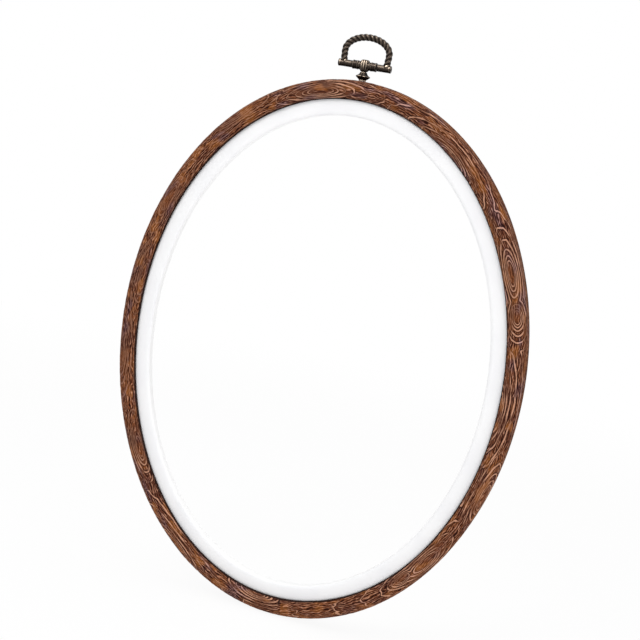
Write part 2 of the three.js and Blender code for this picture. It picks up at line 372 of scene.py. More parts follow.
@dataclass(frozen=True)
class WoodGrain:
    """Relief grain of the outer hoop.

    Lengths are in millimetres along and across the band. A window holds the values between which a
    smooth step runs, and a slope comes with its start.
    """

    half_width: float
    half_height: float
    oval_samples: int = 2000
    knots: tuple[Knot, ...] = (
        Knot(9.0, 1.4, 3.2, 1.0), Knot(44.0, 8.2, 6.4, 1.9), Knot(83.0, 3.0, 4.0, 1.1), Knot(121.0, 7.6),
        Knot(152.0, 2.4, 4.4, 1.2), Knot(184.0, 5.2, 4.4, 1.2), Knot(222.0, 8.2),
        Knot(253.0, 4.4, 4.4, 1.2), Knot(305.0, 1.4, 5.6, 1.6), Knot(349.6, 5.4, 4.4, 1.2),
        Knot(364.8, 5.8, 2.4, 1.4), Knot(398.0, 0.8, 6.4, 1.8), Knot(430.0, 8.8),
        Knot(461.8, 5.4, 5.6, 1.6), Knot(472.0, 4.6, 2.7, 1.1),
    )
    far_off: float = 99.0
    merge: float = 0.25
    probe: float = 0.2
    ring_first: float = 0.82
    ring_growth: float = 1.38
    ring_wobble: float = 0.34
    ring_width: float = 0.155
    ring_width_slope: Point = (0.75, 0.5)
    ring_thickest: float = 0.16
    ring_edge: float = 2.0
    flank_edge: float = 4.5
    ring_strength: float = 0.95
    ring_base: float = 0.35
    ring_window: Point = (-0.12, 0.1)
    ring_clearing: float = 0.9
    ring_fleck_slope: Point = (0.35, 0.68)
    bold_place: float = 349.6
    bold_reach: float = 10.5
    bold_strength: float = 0.85
    quiet_start: float = 70.0
    quiet_end: float = 228.0
    quiet_run: float = 18.0
    quiet_share: float = 0.55
    rings_only: float = 0.3
    rings_only_window: Point = (1.5, 3.5)
    line_pitch: float = 0.84
    line_bend: float = 2.2
    line_wobble: float = 1.1
    line_share: float = 0.65
    dash_strength: float = 2.3
    dash_detail: float = 1.5
    dash_crest: float = 0.6
    groove_window: Point = (-0.5, -0.05)
    crest_window: Point = (0.3, 0.8)
    fleck_window: Point = (-0.16, 0.16)
    fleck_range: Point = (0.35, 1.3)
    patch_window: Point = (0.04, 0.2)
    patch_clearing: float = 0.4
    violet_window: Point = (0.04, 0.26)
    ochre_start: float = 385.0
    ochre_violet: float = 0.3
    seam_turn: float = 176.3
    seam_half_width: float = 0.12
    seam_spread: float = 3.5
    seam_window: Point = (2.9, 4.4)
    pale_start: float = 0.5
    pale_window: Point = (2.8, 4.8)
    pale_across: Point = (2.0, 3.5)

    @property
    def perimeter(self) -> float:
        """The band's length round the opening.

        Returns:
            The length in millimetres.
        """
        turns = np.linspace(0, FULL_TURN, self.oval_samples)
        oval = np.column_stack([self.half_width * np.sin(turns), self.half_height * np.cos(turns)])
        return float(runs_of(oval)[-1])

    def noise(self, graph: Graph, place: tuple[Term, Term], layer: Layer, detail: float = 1.0) -> Socket:
        """Writes a noise about 0.

        Args:
            graph: where the nodes go.
            place: millimetres along and across the band.
            layer: which noise.
            detail: how many finer layers it has.

        Returns:
            The noise.
        """
        shift, length, width = layer.value
        spread = graph.combine(graph.line(place[0], 1 / length, shift), graph.times(place[1], 1 / width))
        return graph.minus(graph.noise(spread, detail=detail, flat=True), 0.5)

    def level(self, graph: Graph, along: Term, across: Term) -> Socket:
        """Writes how many rings lie between a place and the nearest knot.

        Args:
            graph: where the nodes go.
            along, across: millimetres along and across the band.

        Returns:
            The number of rings, whole on a ring.
        """
        nearest: Term = self.far_off
        for knot in self.knots:
            away = graph.combine(
                graph.line(along, 1 / knot.length, -knot.along / knot.length),
                graph.line(across, 1 / knot.width, -knot.across / knot.width),
            )
            nearest = graph.math("SMOOTH_MIN", graph.length(away), nearest, self.merge)
        return graph.math("LOGARITHM", graph.larger(nearest, self.ring_first), self.ring_growth)

    def rings(self, graph: Graph, along: Term, across: Term) -> tuple[Socket, Socket, Socket]:
        """Writes the oval rings round the knots.

        Args:
            graph: where the nodes go.
            along, across: millimetres along and across the band.

        Returns:
            The raised rings, the sunk flanks beside them, which the wood's colour also paints dark as a
            painted shade beside each ring, and the number of rings to the nearest knot.
        """
        place = (along, across)
        level = self.level(graph, along, across)
        ahead = self.level(graph, graph.math("ADD", along, self.probe), across)
        beside = self.level(graph, along, graph.math("ADD", across, self.probe))
        steep = graph.length(graph.combine(graph.minus(ahead, level), graph.minus(beside, level)))
        strong = self.noise(graph, place, Layer.STRENGTH)
        strong = graph.step(strong, *self.ring_window, self.ring_base, 1.0)
        bold = graph.math("COMPARE", along, self.bold_place, self.bold_reach)
        strong = graph.larger(strong, graph.times(bold, self.bold_strength))
        thin = graph.times(steep, self.ring_width / self.probe)
        thin = graph.times(thin, graph.line(strong, *self.ring_width_slope))
        thin = graph.math("MINIMUM", thin, self.ring_thickest)
        edge = graph.times(thin, self.ring_edge)
        wobble = self.noise(graph, place, Layer.WOBBLE)
        level = graph.line(wobble, self.ring_wobble, level)
        between = graph.math("ABSOLUTE", graph.minus(graph.math("FRACT", level), 0.5))
        to_ring = graph.minus(0.5, between)
        start, end, run = self.quiet_start, self.quiet_end, self.quiet_run
        quiet = graph.times(graph.step(along, start, start + run), graph.fall(along, end, end + run))
        strong = graph.times(strong, graph.line(quiet, -self.quiet_share, 1.0))
        ring = graph.times(graph.fall(to_ring, thin, edge), graph.times(strong, self.ring_strength))
        # The flanks beside each ring are sunk and also painted dark: a painted shade beside the raised ring.
        flank = graph.minus(graph.fall(to_ring, edge, graph.times(thin, self.flank_edge)), ring)
        return ring, graph.times(flank, strong), level

    def dashes(self, graph: Graph, along: Term, across: Term) -> tuple[Socket, Socket]:
        """Writes the broken lines between the rings.

        Args:
            graph: where the nodes go.
            along, across: millimetres along and across the band.

        Returns:
            How far they stand up, about 0, and the place across the band that they follow.
        """
        place = (along, across)
        bent = graph.line(self.noise(graph, place, Layer.BEND), self.line_bend, across)
        fine = self.noise(graph, place, Layer.FINE)
        phase = graph.line(fine, self.line_wobble, graph.math("DIVIDE", bent, self.line_pitch))
        wave = graph.math("COSINE", graph.times(phase, FULL_TURN))
        broken = self.noise(graph, (along, bent), Layer.DASH, self.dash_detail)
        return graph.line(wave, self.line_share, graph.times(broken, self.dash_strength)), bent

    def write(self, graph: Graph, along: Term, across: Term) -> dict[str, Socket]:
        """Writes the grain into a shader or a geometry tree, so that colour and relief agree.

        Args:
            graph: where the nodes go.
            along, across: millimetres along and across the band.

        Returns:
            Masks from 0 to 1 by name: Groove, Ridge, Patch, Violet and Seam.
        """
        place = (along, across)
        ring, flank, level = self.rings(graph, along, across)
        raised, bent = self.dashes(graph, along, across)
        free = graph.step(level, *self.rings_only_window, 1.0 - self.rings_only, 1.0)
        groove = graph.times(graph.fall(raised, *self.groove_window), free)
        groove = graph.times(groove, graph.line(ring, -self.ring_clearing, 1.0))
        # The flanks join the grooves, so the wood colours them dark as painted shade as well as grain.
        groove = graph.larger(groove, flank)
        crest = graph.times(graph.step(raised, *self.crest_window), graph.times(free, self.dash_crest))
        fleck = self.noise(graph, (along, bent), Layer.FLECK)
        fleck = graph.step(fleck, *self.fleck_window, *self.fleck_range)
        ring = graph.times(ring, graph.line(fleck, *self.ring_fleck_slope))
        # Ridge: light grain lines on the raised rings and dash crests, partly a painted highlight where they
        # stand up.
        ridge = graph.math("MINIMUM", graph.larger(ring, graph.times(crest, fleck)), 1.0)

        patch = graph.step(self.noise(graph, place, Layer.PATCH), *self.patch_window)
        before_end = graph.minus(self.perimeter, along)
        pale = graph.fall(before_end, *self.pale_window)
        pale = graph.times(pale, graph.step(before_end, self.pale_start, 2 * self.pale_start))
        patch = graph.larger(patch, graph.times(pale, graph.step(across, *self.pale_across)))
        groove = graph.times(groove, graph.line(patch, -self.patch_clearing, 1.0))
        violet = graph.step(self.noise(graph, place, Layer.VIOLET), *self.violet_window)
        ochre_end = self.ochre_start + self.quiet_run
        ochre = graph.step(along, self.ochre_start, ochre_end, 1.0, self.ochre_violet)
        to_seam = graph.math("MINIMUM", along, before_end)
        near = graph.fall(to_seam, self.seam_half_width, self.seam_spread * self.seam_half_width)
        return {
            "Groove": groove, "Ridge": ridge, "Patch": patch, "Violet": graph.times(violet, ochre),
            "Seam": graph.times(near, graph.fall(across, *self.seam_window)),
        }

    def group(self, kind: Kind) -> Tree:
        """Builds the grain as a node group.

        Args:
            kind: the kind of tree that it is for.

        Returns:
            The group, with the inputs Along and Across in millimetres.
        """
        names = ("Groove", "Ridge", "Patch", "Violet", "Seam")
        tree, graph, given, sink = group_tree(
            f"wood_grain_{kind.name.lower()}", kind,
            {"Along": 0.0, "Across": 0.0}, {name: "NodeSocketFloat" for name in names},
        )
        masks = self.write(graph, given["Along"], given["Across"])
        for name in names:
            graph.feed(sink.inputs[name], masks[name])
        return tree


def crest_wear_and_highlight_group() -> Tree:
    """Builds the shared effect of edges and crests that are rubbed bright, and of the painted highlight that
    the crest value carries.

    Returns:
        The group: Crest is 0 in a groove and 1 on an edge; Mask is 1 where the finish is rubbed, and where
            Crest holds a painted highlight.
    """
    tree, graph, given, sink = group_tree(
        "crest_wear_and_highlight", Kind.SHADER,
        {"Crest": 0.5, "Start": 0.5, "Full": 0.8, "Breakup": 0.2, "Scale": 2000.0},
        {"Mask": "NodeSocketFloat"},
    )
    ragged = graph.noise(graph.place(), given["Scale"], detail=3.0, roughness=0.6)
    shift = graph.times(graph.minus(ragged, 0.5), given["Breakup"])
    mask = graph.step(graph.math("ADD", given["Crest"], shift), given["Start"], given["Full"])
    graph.feed(sink.inputs["Mask"], mask)
    return tree


def mottle_group() -> Tree:
    """Builds the shared effect of a fine, uneven surface.

    Returns:
        The group: Broad varies over some millimetres and Fine over tenths, both about 0.5.
    """
    tree, graph, given, sink = group_tree(
        "mottle", Kind.SHADER,
        {"Broad Scale": 120.0, "Fine Scale": 2500.0},
        {"Broad": "NodeSocketFloat", "Fine": "NodeSocketFloat"},
    )
    place = graph.place()
    graph.feed(sink.inputs["Broad"], graph.noise(place, given["Broad Scale"], detail=2.0))
    graph.feed(sink.inputs["Fine"], graph.noise(place, given["Fine Scale"], detail=3.0, roughness=0.6))
    return tree


class Effects:
    """Shared node groups, each built once when a material first needs it."""

    def __init__(self, grain: WoodGrain) -> None:
        """Starts with no group built, for a hoop with the given grain."""
        self.grain = grain
        self._built: dict[str, Tree] = {}

    def place(self, graph: Graph, name: str, inputs: dict[str, object]) -> bpy.types.NodeOutputs:
        """Places a shared group in a material.

        Args:
            graph: the material's graph.
            name: which effect.
            inputs: its values or sockets by name.

        Returns:
            The outputs of the placed group.
        """
        builders = {
            "crest_wear_and_highlight": crest_wear_and_highlight_group,
            "mottle": mottle_group,
            "wood_grain": lambda: self.grain.group(Kind.SHADER),
        }
        if name not in self._built:
            self._built[name] = builders[name]()
        placed = graph.node("ShaderNodeGroup", node_tree=self._built[name])
        for label, value in inputs.items():
            graph.feed(placed.inputs[label], value)
        return placed.outputs


def started_material(name: str, **fixed: object) -> tuple[bpy.types.Material, Graph, Node]:
    """Starts a material on one Principled shader.

    Args:
        name: the material's name.
        fixed: uniform values by the shader's input, with _ for a space.

    Returns:
        The material, a graph that writes into it, and its shader.
    """
    material = bpy.data.materials.new(name)
    material.use_nodes = True
    shader = material.node_tree.nodes["Principled BSDF"]
    for label, value in spaced(fixed).items():
        shader.inputs[label].default_value = value
    return material, Graph(material.node_tree), shader


def coated(graph: Graph, shader: Node, colour: Socket, roughness: Socket, height: Socket,
           bump: Point) -> None:
    """Feeds a shader with what varies over a surface.

    Args:
        graph: the material's graph.
        shader: its Principled shader.
        colour, roughness: for Base Color and Roughness.
        height: the fine relief.
        bump: how strongly the relief shows, and its height in metres.
    """
    strength, distance = bump
    normal = graph.out("ShaderNodeBump", {"Strength": strength, "Distance": distance, "Height": height})
    for name, value in (("Base Color", colour), ("Roughness", roughness), ("Normal", normal)):
        graph.feed(shader.inputs[name], value)


@dataclass(frozen=True)
class WoodVinyl:
    """Soft vinyl, moulded with relief grain and stained like dark reddish wood."""

    base: Colour = paint(93, 51, 35)
    warm: Colour = paint(118, 67, 38)
    patch: Colour = paint(138, 82, 40)
    # groove and violet_groove: dark grain dashes, and painted shade on the flanks beside the raised rings
    groove: Colour = paint(34, 5, 0)
    # ridge and violet_ridge: light grain lines, partly a painted highlight on the raised rings
    ridge: Colour = paint(208, 155, 126)
    violet_base: Colour = paint(84, 54, 55)
    violet_groove: Colour = paint(30, 8, 12)
    violet_ridge: Colour = paint(203, 157, 147)
    # side: painted shade, the outer side face made darker where it turns away from the light
    side: Colour = paint(50, 32, 27)
    # edge: painted shade on the lip's inner wall; the seam line takes the same dark colour
    edge: Colour = paint(36, 19, 14)
    warm_window: Point = (0.36, 0.62)
    violet_share: float = 0.75
    ridge_share: float = 0.9
    groove_share: float = 0.96
    # edge_window: where the painted shade of the lip wall fades out along the section
    edge_window: Point = (1.0, 1.7)
    side_window: Point = (8.6, 12.0)
    side_shade_share: float = 0.35
    side_roughness: float = 1.0
    roughness: float = 0.46
    groove_roughness: float = 0.16
    fine_roughness: float = 0.3
    ridge_lift: float = 0.35
    groove_lift: float = -0.8
    fine_lift: float = 0.5
    bump: Point = (0.8, 0.00004)

    def build(self, effects: Effects) -> bpy.types.Material:
        """Builds the material on the band's own map.

        Args:
            effects: the shared node groups.

        Returns:
            The material.
        """
        material, graph, shader = started_material(Slot.WOOD.value, IOR=1.45, Specular_IOR_Level=0.08)
        along, across = graph.band()
        grain = effects.place(graph, "wood_grain", {"Along": along, "Across": across})
        uneven = effects.place(graph, "mottle", {"Broad Scale": 90.0, "Fine Scale": 1800.0})
        violet = grain["Violet"]
        base = graph.blend(graph.step(uneven["Broad"], *self.warm_window), self.base, self.warm)
        base = graph.blend(grain["Patch"], base, self.patch)
        base = graph.blend(graph.times(violet, self.violet_share), base, self.violet_base)
        ridge = graph.blend(violet, self.ridge, self.violet_ridge)
        groove = graph.blend(violet, self.groove, self.violet_groove)
        # Light grain lines on the ridges, partly a painted highlight.
        colour = graph.blend(graph.times(grain["Ridge"], self.ridge_share), base, ridge)
        # Dark grain dashes, with painted shade on the ring flanks.
        colour = graph.blend(graph.times(grain["Groove"], self.groove_share), colour, groove)
        # The outer side is painted darker as a painted shade; the same mask also makes it rough.
        flat_side = graph.step(across, *self.side_window)
        colour = graph.blend(graph.times(flat_side, self.side_shade_share), colour, self.side)
        # Painted shade: the lip's inner wall and the start of the crown are painted dark; the seam line gets
        # the same dark colour.
        lip_wall_shade = graph.fall(across, *self.edge_window)
        colour = graph.blend(graph.larger(lip_wall_shade, grain["Seam"]), colour, self.edge)
        rough = graph.line(grain["Groove"], self.groove_roughness, self.roughness)
        rough = graph.line(graph.minus(uneven["Fine"], 0.5), self.fine_roughness, rough)
        rough = graph.larger(rough, graph.times(flat_side, self.side_roughness))
        lift = graph.line(grain["Ridge"], self.ridge_lift, graph.times(grain["Groove"], self.groove_lift))
        coated(graph, shader, colour, rough, graph.line(uneven["Fine"], self.fine_lift, lift), self.bump)
        return material


@dataclass(frozen=True)
class WhitePlastic:
    """Stiff white moulded plastic with a satin gloss; the wall of its inner edge is painted paler, a painted
    light that lifts the shade on that wall.
    """

    base: Colour = paint(244, 244, 245)
    shade: Colour = paint(240, 240, 242)
    # edge: painted light, a paler white on the inner edge's wall where it would fall into shade
    edge: Colour = paint(253, 253, 253)
    shade_window: Point = (0.35, 0.7)
    edge_window: Point = (2.7, 3.2)
    roughness_slope: Point = (0.16, 0.3)
    bump: Point = (0.5, 0.00002)

    def build(self, effects: Effects) -> bpy.types.Material:
        """Builds the material.

        Args:
            effects: the shared node groups.

        Returns:
            The material.
        """
        material, graph, shader = started_material(Slot.WHITE.value, IOR=1.49)
        uneven = effects.place(graph, "mottle", {"Broad Scale": 60.0, "Fine Scale": 1400.0})
        fine = uneven["Fine"]
        colour = graph.blend(graph.step(uneven["Broad"], *self.shade_window), self.base, self.shade)
        # Painted light: the wall of the inner edge is painted paler.
        colour = graph.blend(graph.fall(graph.band()[1], *self.edge_window), colour, self.edge)
        coated(graph, shader, colour, graph.line(fine, *self.roughness_slope), fine, self.bump)
        return material


@dataclass(frozen=True)
class AgedBronze:
    """Antique bronze plating: near black in the grooves, rubbed to warm beige on what stands proud; the
    beige is also a painted highlight towards the front and the top, the dark also a painted shade on sides
    turned away.
    """

    # groove: patina in the hollows, also a painted shade where the crest value is low on sides turned away
    # from the light
    groove: Colour = paint(24, 20, 18)
    body: Colour = paint(58, 50, 45)
    # The beige of rubbed crests, also a painted highlight on the side towards the front and the top.
    rubbed_and_highlight: Colour = paint(212, 192, 170)
    tone_window: Point = (0.3, 0.7)
    tone_share: float = 0.4
    sunk_window: Point = (0.2, 0.6)
    thinned_and_highlight_share: float = 0.13
    roughness_slope: Point = (-0.08, 0.34)
    fine_roughness: float = 0.3
    bump: Point = (0.6, 0.00003)

    def build(self, effects: Effects) -> bpy.types.Material:
        """Builds the material on the piece's own crest attribute.

        Args:
            effects: the shared node groups.

        Returns:
            The material.
        """
        material, graph, shader = started_material(Slot.BRONZE.value, Metallic=1.0)
        crest = graph.node("ShaderNodeAttribute", attribute_name=CREST).outputs["Fac"]
        uneven = effects.place(graph, "mottle", {"Broad Scale": 420.0, "Fine Scale": 4200.0})
        fine = uneven["Fine"]
        crest_inputs = {"Crest": crest, "Start": 0.84, "Full": 0.98, "Breakup": 0.35, "Scale": 1300.0}
        worn_and_highlight = effects.place(graph, "crest_wear_and_highlight", crest_inputs)["Mask"]
        crest_inputs = {"Crest": crest, "Start": 0.5, "Full": 0.88, "Breakup": 0.25, "Scale": 900.0}
        thinned_and_highlight = effects.place(graph, "crest_wear_and_highlight", crest_inputs)["Mask"]
        tone = graph.times(graph.step(uneven["Broad"], *self.tone_window), self.tone_share)
        colour = graph.blend(tone, self.body, self.groove)
        # Dark where the crest value is low: patina in the grooves, and painted shade on sides turned away
        # from the front and the top.
        colour = graph.blend(graph.fall(crest, *self.sunk_window), colour, self.groove)
        colour = graph.blend(graph.times(thinned_and_highlight, self.thinned_and_highlight_share), colour, self.rubbed_and_highlight)
        # Beige where the crest value is high: rubbed crests, and a painted highlight towards the front and
        # the top.
        colour = graph.blend(worn_and_highlight, colour, self.rubbed_and_highlight)
        rough = graph.line(worn_and_highlight, *self.roughness_slope)
        rough = graph.line(graph.minus(fine, 0.5), self.fine_roughness, rough)
        coated(graph, shader, colour, rough, fine, self.bump)
        return material


@dataclass(frozen=True)
class ZincSteel:
    """Bright zinc-plated steel with fine wear, and a painted highlight on the side towards the front and the
    top.
    """

    plate: Colour = paint(196, 198, 200)
    stain: Colour = paint(150, 150, 146)
    # A paler steel for worn crests, also a painted highlight towards the front and the top.
    bright_and_highlight: Colour = paint(222, 222, 220)
    stain_window: Point = (0.35, 0.7)
    roughness_slope: Point = (0.25, 0.22)
    bump: Point = (0.5, 0.00001)

    def build(self, effects: Effects) -> bpy.types.Material:
        """Builds the material on the piece's own crest attribute.

        Args:
            effects: the shared node groups.

        Returns:
            The material.
        """
        material, graph, shader = started_material(Slot.STEEL.value, Metallic=1.0)
        crest = graph.node("ShaderNodeAttribute", attribute_name=CREST).outputs["Fac"]
        uneven = effects.place(graph, "mottle", {"Broad Scale": 700.0, "Fine Scale": 6000.0})
        fine = uneven["Fine"]
        crest_inputs = {"Crest": crest, "Start": 0.6, "Full": 0.9, "Breakup": 0.3, "Scale": 2500.0}
        worn_and_highlight = effects.place(graph, "crest_wear_and_highlight", crest_inputs)["Mask"]
        colour = graph.blend(graph.step(uneven["Broad"], *self.stain_window), self.plate, self.stain)
        # Pale on worn crests, and as a painted highlight.
        colour = graph.blend(worn_and_highlight, colour, self.bright_and_highlight)
        coated(graph, shader, colour, graph.line(fine, *self.roughness_slope), fine, self.bump)
        return material


FINISHES = {
    Slot.WOOD: WoodVinyl(), Slot.WHITE: WhitePlastic(), Slot.BRONZE: AgedBronze(), Slot.STEEL: ZincSteel(),
}


class Outline:
    """A line of corners and arcs in a section plane, in millimetres."""

    def __init__(self, x: float, y: float, radius: float = 0.0) -> None:
        """Starts the line at a point, which a closed line may round by a radius."""
        self.corners: list[Corner] = [(x, y, radius)]

    def to(self, x: float, y: float, radius: float = 0.0) -> "Outline":
        """Draws a straight line to a corner that is rounded by a radius, and returns the outline."""
        self.corners.append((x, y, radius))
        return self

    def through(self, corners: Iterable[Corner]) -> "Outline":
        """Draws straight lines to a row of corners, and returns the outline."""
        self.corners.extend(corners)
        return self

    def bow(self, centre: Point, reach: Point, start: float, end: float, steps: int) -> "Outline":
        """Draws part of an ellipse.

        Args:
            centre: the ellipse's centre.
            reach: its half sizes along x and y.
            start, end: angles in degrees.
            steps: how many straight pieces stand for it.

        Returns:
            The outline.
        """
        for step in range(steps + 1):
            angle = math.radians(start + (end - start) * step / steps)
            point = (centre[0] + reach[0] * math.cos(angle), centre[1] + reach[1] * math.sin(angle))
            if math.dist(point, self.corners[-1][:2]) > SAME_POINT:
                self.to(*point)
        return self

    def points(self, spacing: float, closed: bool, arc_steps: int = 4) -> np.ndarray:
        """Samples the line.

        Args:
            spacing: longest straight piece, in millimetres.
            closed: True if the last corner joins the first one.
            arc_steps: how many pieces round off a corner.

        Returns:
            The points, one a row; a closed line repeats its first point at the end.
        """
        corners = self.corners
        count = len(corners)
        rounded: list[np.ndarray] = []
        for index, (x, y, radius) in enumerate(corners):
            here = np.array((x, y))
            if radius <= 0 or (not closed and index in (0, count - 1)):
                rounded.append(here)
                continue
            before = np.array(corners[index - 1][:2]) - here
            after = np.array(corners[(index + 1) % count][:2]) - here
            back, on = before / np.linalg.norm(before), after / np.linalg.norm(after)
            half = math.acos(max(-1.0, min(1.0, float(back @ on)))) / 2
            limit = CORNER_SHARE * min(np.linalg.norm(before), np.linalg.norm(after))
            run = min(radius / math.tan(half), limit)
            fit = run * math.tan(half)
            middle = here + (back + on) / np.linalg.norm(back + on) * (fit / math.sin(half))
            first, last = here + back * run - middle, here + on * run - middle
            sweep = math.pi - 2 * half
            for step in range(arc_steps + 1):
                share = step / arc_steps
                weight = (math.sin((1 - share) * sweep), math.sin(share * sweep))
                rounded.append(middle + (first * weight[0] + last * weight[1]) / math.sin(sweep))
        if closed:
            rounded.append(rounded[0])
        made = [rounded[0]]
        for start, end in zip(rounded, rounded[1:]):
            pieces = max(1, math.ceil(float(np.linalg.norm(end - start)) / spacing))
            made.extend(start + (end - start) * (k + 1) / pieces for k in range(pieces))
        return np.array(made)


def rod(radius: float, low: float, high: float) -> Outline:
    """Draws the profile of a plain rod between two heights."""
    return Outline(0, low).to(radius, low).to(radius, high).to(0, high)


def both_ends(corners: list[Corner], length: float) -> list[Corner]:
    """Repeats the corners of a profile's lower end, turned over, at its upper end."""
    return corners + [(radius, length - height, edge) for radius, height, edge in reversed(corners)]


def seed_mesh(name: str, points: np.ndarray, marks: dict[str, np.ndarray]) -> bpy.types.Mesh:
    """Makes the line that a geometry tree sweeps, turns or twists strands about.

    Args:
        name: the mesh's name.
        points: x, y and z of each point in metres; z is 0 where it is left out.
        marks: values for each point by attribute name.

    Returns:
        A mesh of points joined by edges.
    """
    mesh = bpy.data.meshes.new(name)
    flat_line = points.shape[1] == 2
    corners = np.column_stack([points, np.zeros(len(points))]) if flat_line else points
    mesh.from_pydata(corners.tolist(), [(k, k + 1) for k in range(len(points) - 1)], [])
    for label, values in marks.items():
        single = values.ndim == 1
        made = mesh.attributes.new(label, "FLOAT" if single else "FLOAT_VECTOR", "POINT")
        made.data.foreach_set("value" if single else "vector", values.astype(np.float32).ravel())
    return mesh


def directions_of(points: np.ndarray) -> np.ndarray:
    """Returns the unit vectors from each point of a line to the next."""
    ahead = np.diff(points, axis=0)
    return ahead / np.linalg.norm(ahead, axis=1)[:, None]


def facing_of(points: np.ndarray) -> np.ndarray:
    """Works out which way the right-hand side of a closed line faces.

    Args:
        points: the line, one point a row; the last one repeats the first.

    Returns:
        A unit vector for each point, with a third number of 0.
    """
    ahead = directions_of(points)
    both = np.vstack([ahead[-1], ahead]) + np.vstack([ahead, ahead[0]])
    both /= np.linalg.norm(both, axis=1)[:, None]
    return np.column_stack([both[:, 1], -both[:, 0], np.zeros(len(both))])


def runs_of(points: np.ndarray) -> np.ndarray:
    """Returns the length along a line at each of its points."""
    return np.concatenate([[0.0], np.cumsum(np.linalg.norm(np.diff(points, axis=0), axis=1))])


def sampled_at(graph: Graph, geometry: Socket, value: Socket, index: Socket, vector: bool = False) -> Socket:
    """Reads a value of another geometry's point.

    Args:
        graph: where the node goes.
        geometry: the geometry that is read.
        value: the field that is read on it.
        index: which point.
        vector: True if the field is a vector.

    Returns:
        The value.
    """
    return graph.out(
        "GeometryNodeSampleIndex", {"Geometry": geometry, "Value": value, "Index": index},
        data_type="FLOAT_VECTOR" if vector else "FLOAT", domain="POINT", clamp=True,
    )


def named_value(graph: Graph, name: str, vector: bool = False) -> Socket:
    """Reads an attribute by name in a geometry tree."""
    kind = "FLOAT_VECTOR" if vector else "FLOAT"
    return graph.out("GeometryNodeInputNamedAttribute", {"Name": name}, data_type=kind)


def grid_rows(graph: Graph, around: Term, rows: Term) -> tuple[Socket, Socket, Socket]:
    """Lays out the grid that a section is wrapped over.

    Args:
        graph: where the nodes go.
        around: number of steps the long way.
        rows: number of points of the section.

    Returns:
        The grid's mesh, and each point's column and row as whole numbers.
    """
    columns = graph.math("ADD", around, 1)
    grid = graph.out(
        "GeometryNodeMeshGrid", {"Size X": 1.0, "Size Y": 1.0, "Vertices X": columns, "Vertices Y": rows}
    )
    x, y, _ = graph.separate(graph.out("GeometryNodeInputPosition"))
    column = graph.math("ROUND", graph.times(graph.math("ADD", x, 0.5), around))
    row = graph.math("ROUND", graph.times(graph.math("ADD", y, 0.5), graph.minus(rows, 1)))
    return grid, column, row


def on_circle(graph: Graph, angle: Socket, reach: Term, height: Term = 0.0) -> Socket:
    """Returns the point at an angle and a distance about the Z axis, at a height."""
    x, y = graph.math("COSINE", angle), graph.math("SINE", angle)
    return graph.combine(graph.times(x, reach), graph.times(y, reach), height)


def finished(graph: Graph, geometry: Socket, material: Term, sink: Node) -> None:
    """Welds, smooths, realizes and dresses a geometry at the end of a tree.

    Args:
        graph: where the nodes go.
        geometry: what has been built.
        material: the finish's socket.
        sink: the tree's output node.
    """
    welded = graph.out("GeometryNodeMergeByDistance", {"Geometry": geometry, "Distance": WELD})
    smooth = graph.out("GeometryNodeSetShadeSmooth", {"Geometry": welded})
    real = graph.out("GeometryNodeRealizeInstances", {"Geometry": smooth})
    dressed = graph.out("GeometryNodeSetMaterial", {"Geometry": real, "Material": material})
    graph.feed(sink.inputs[0], dressed)


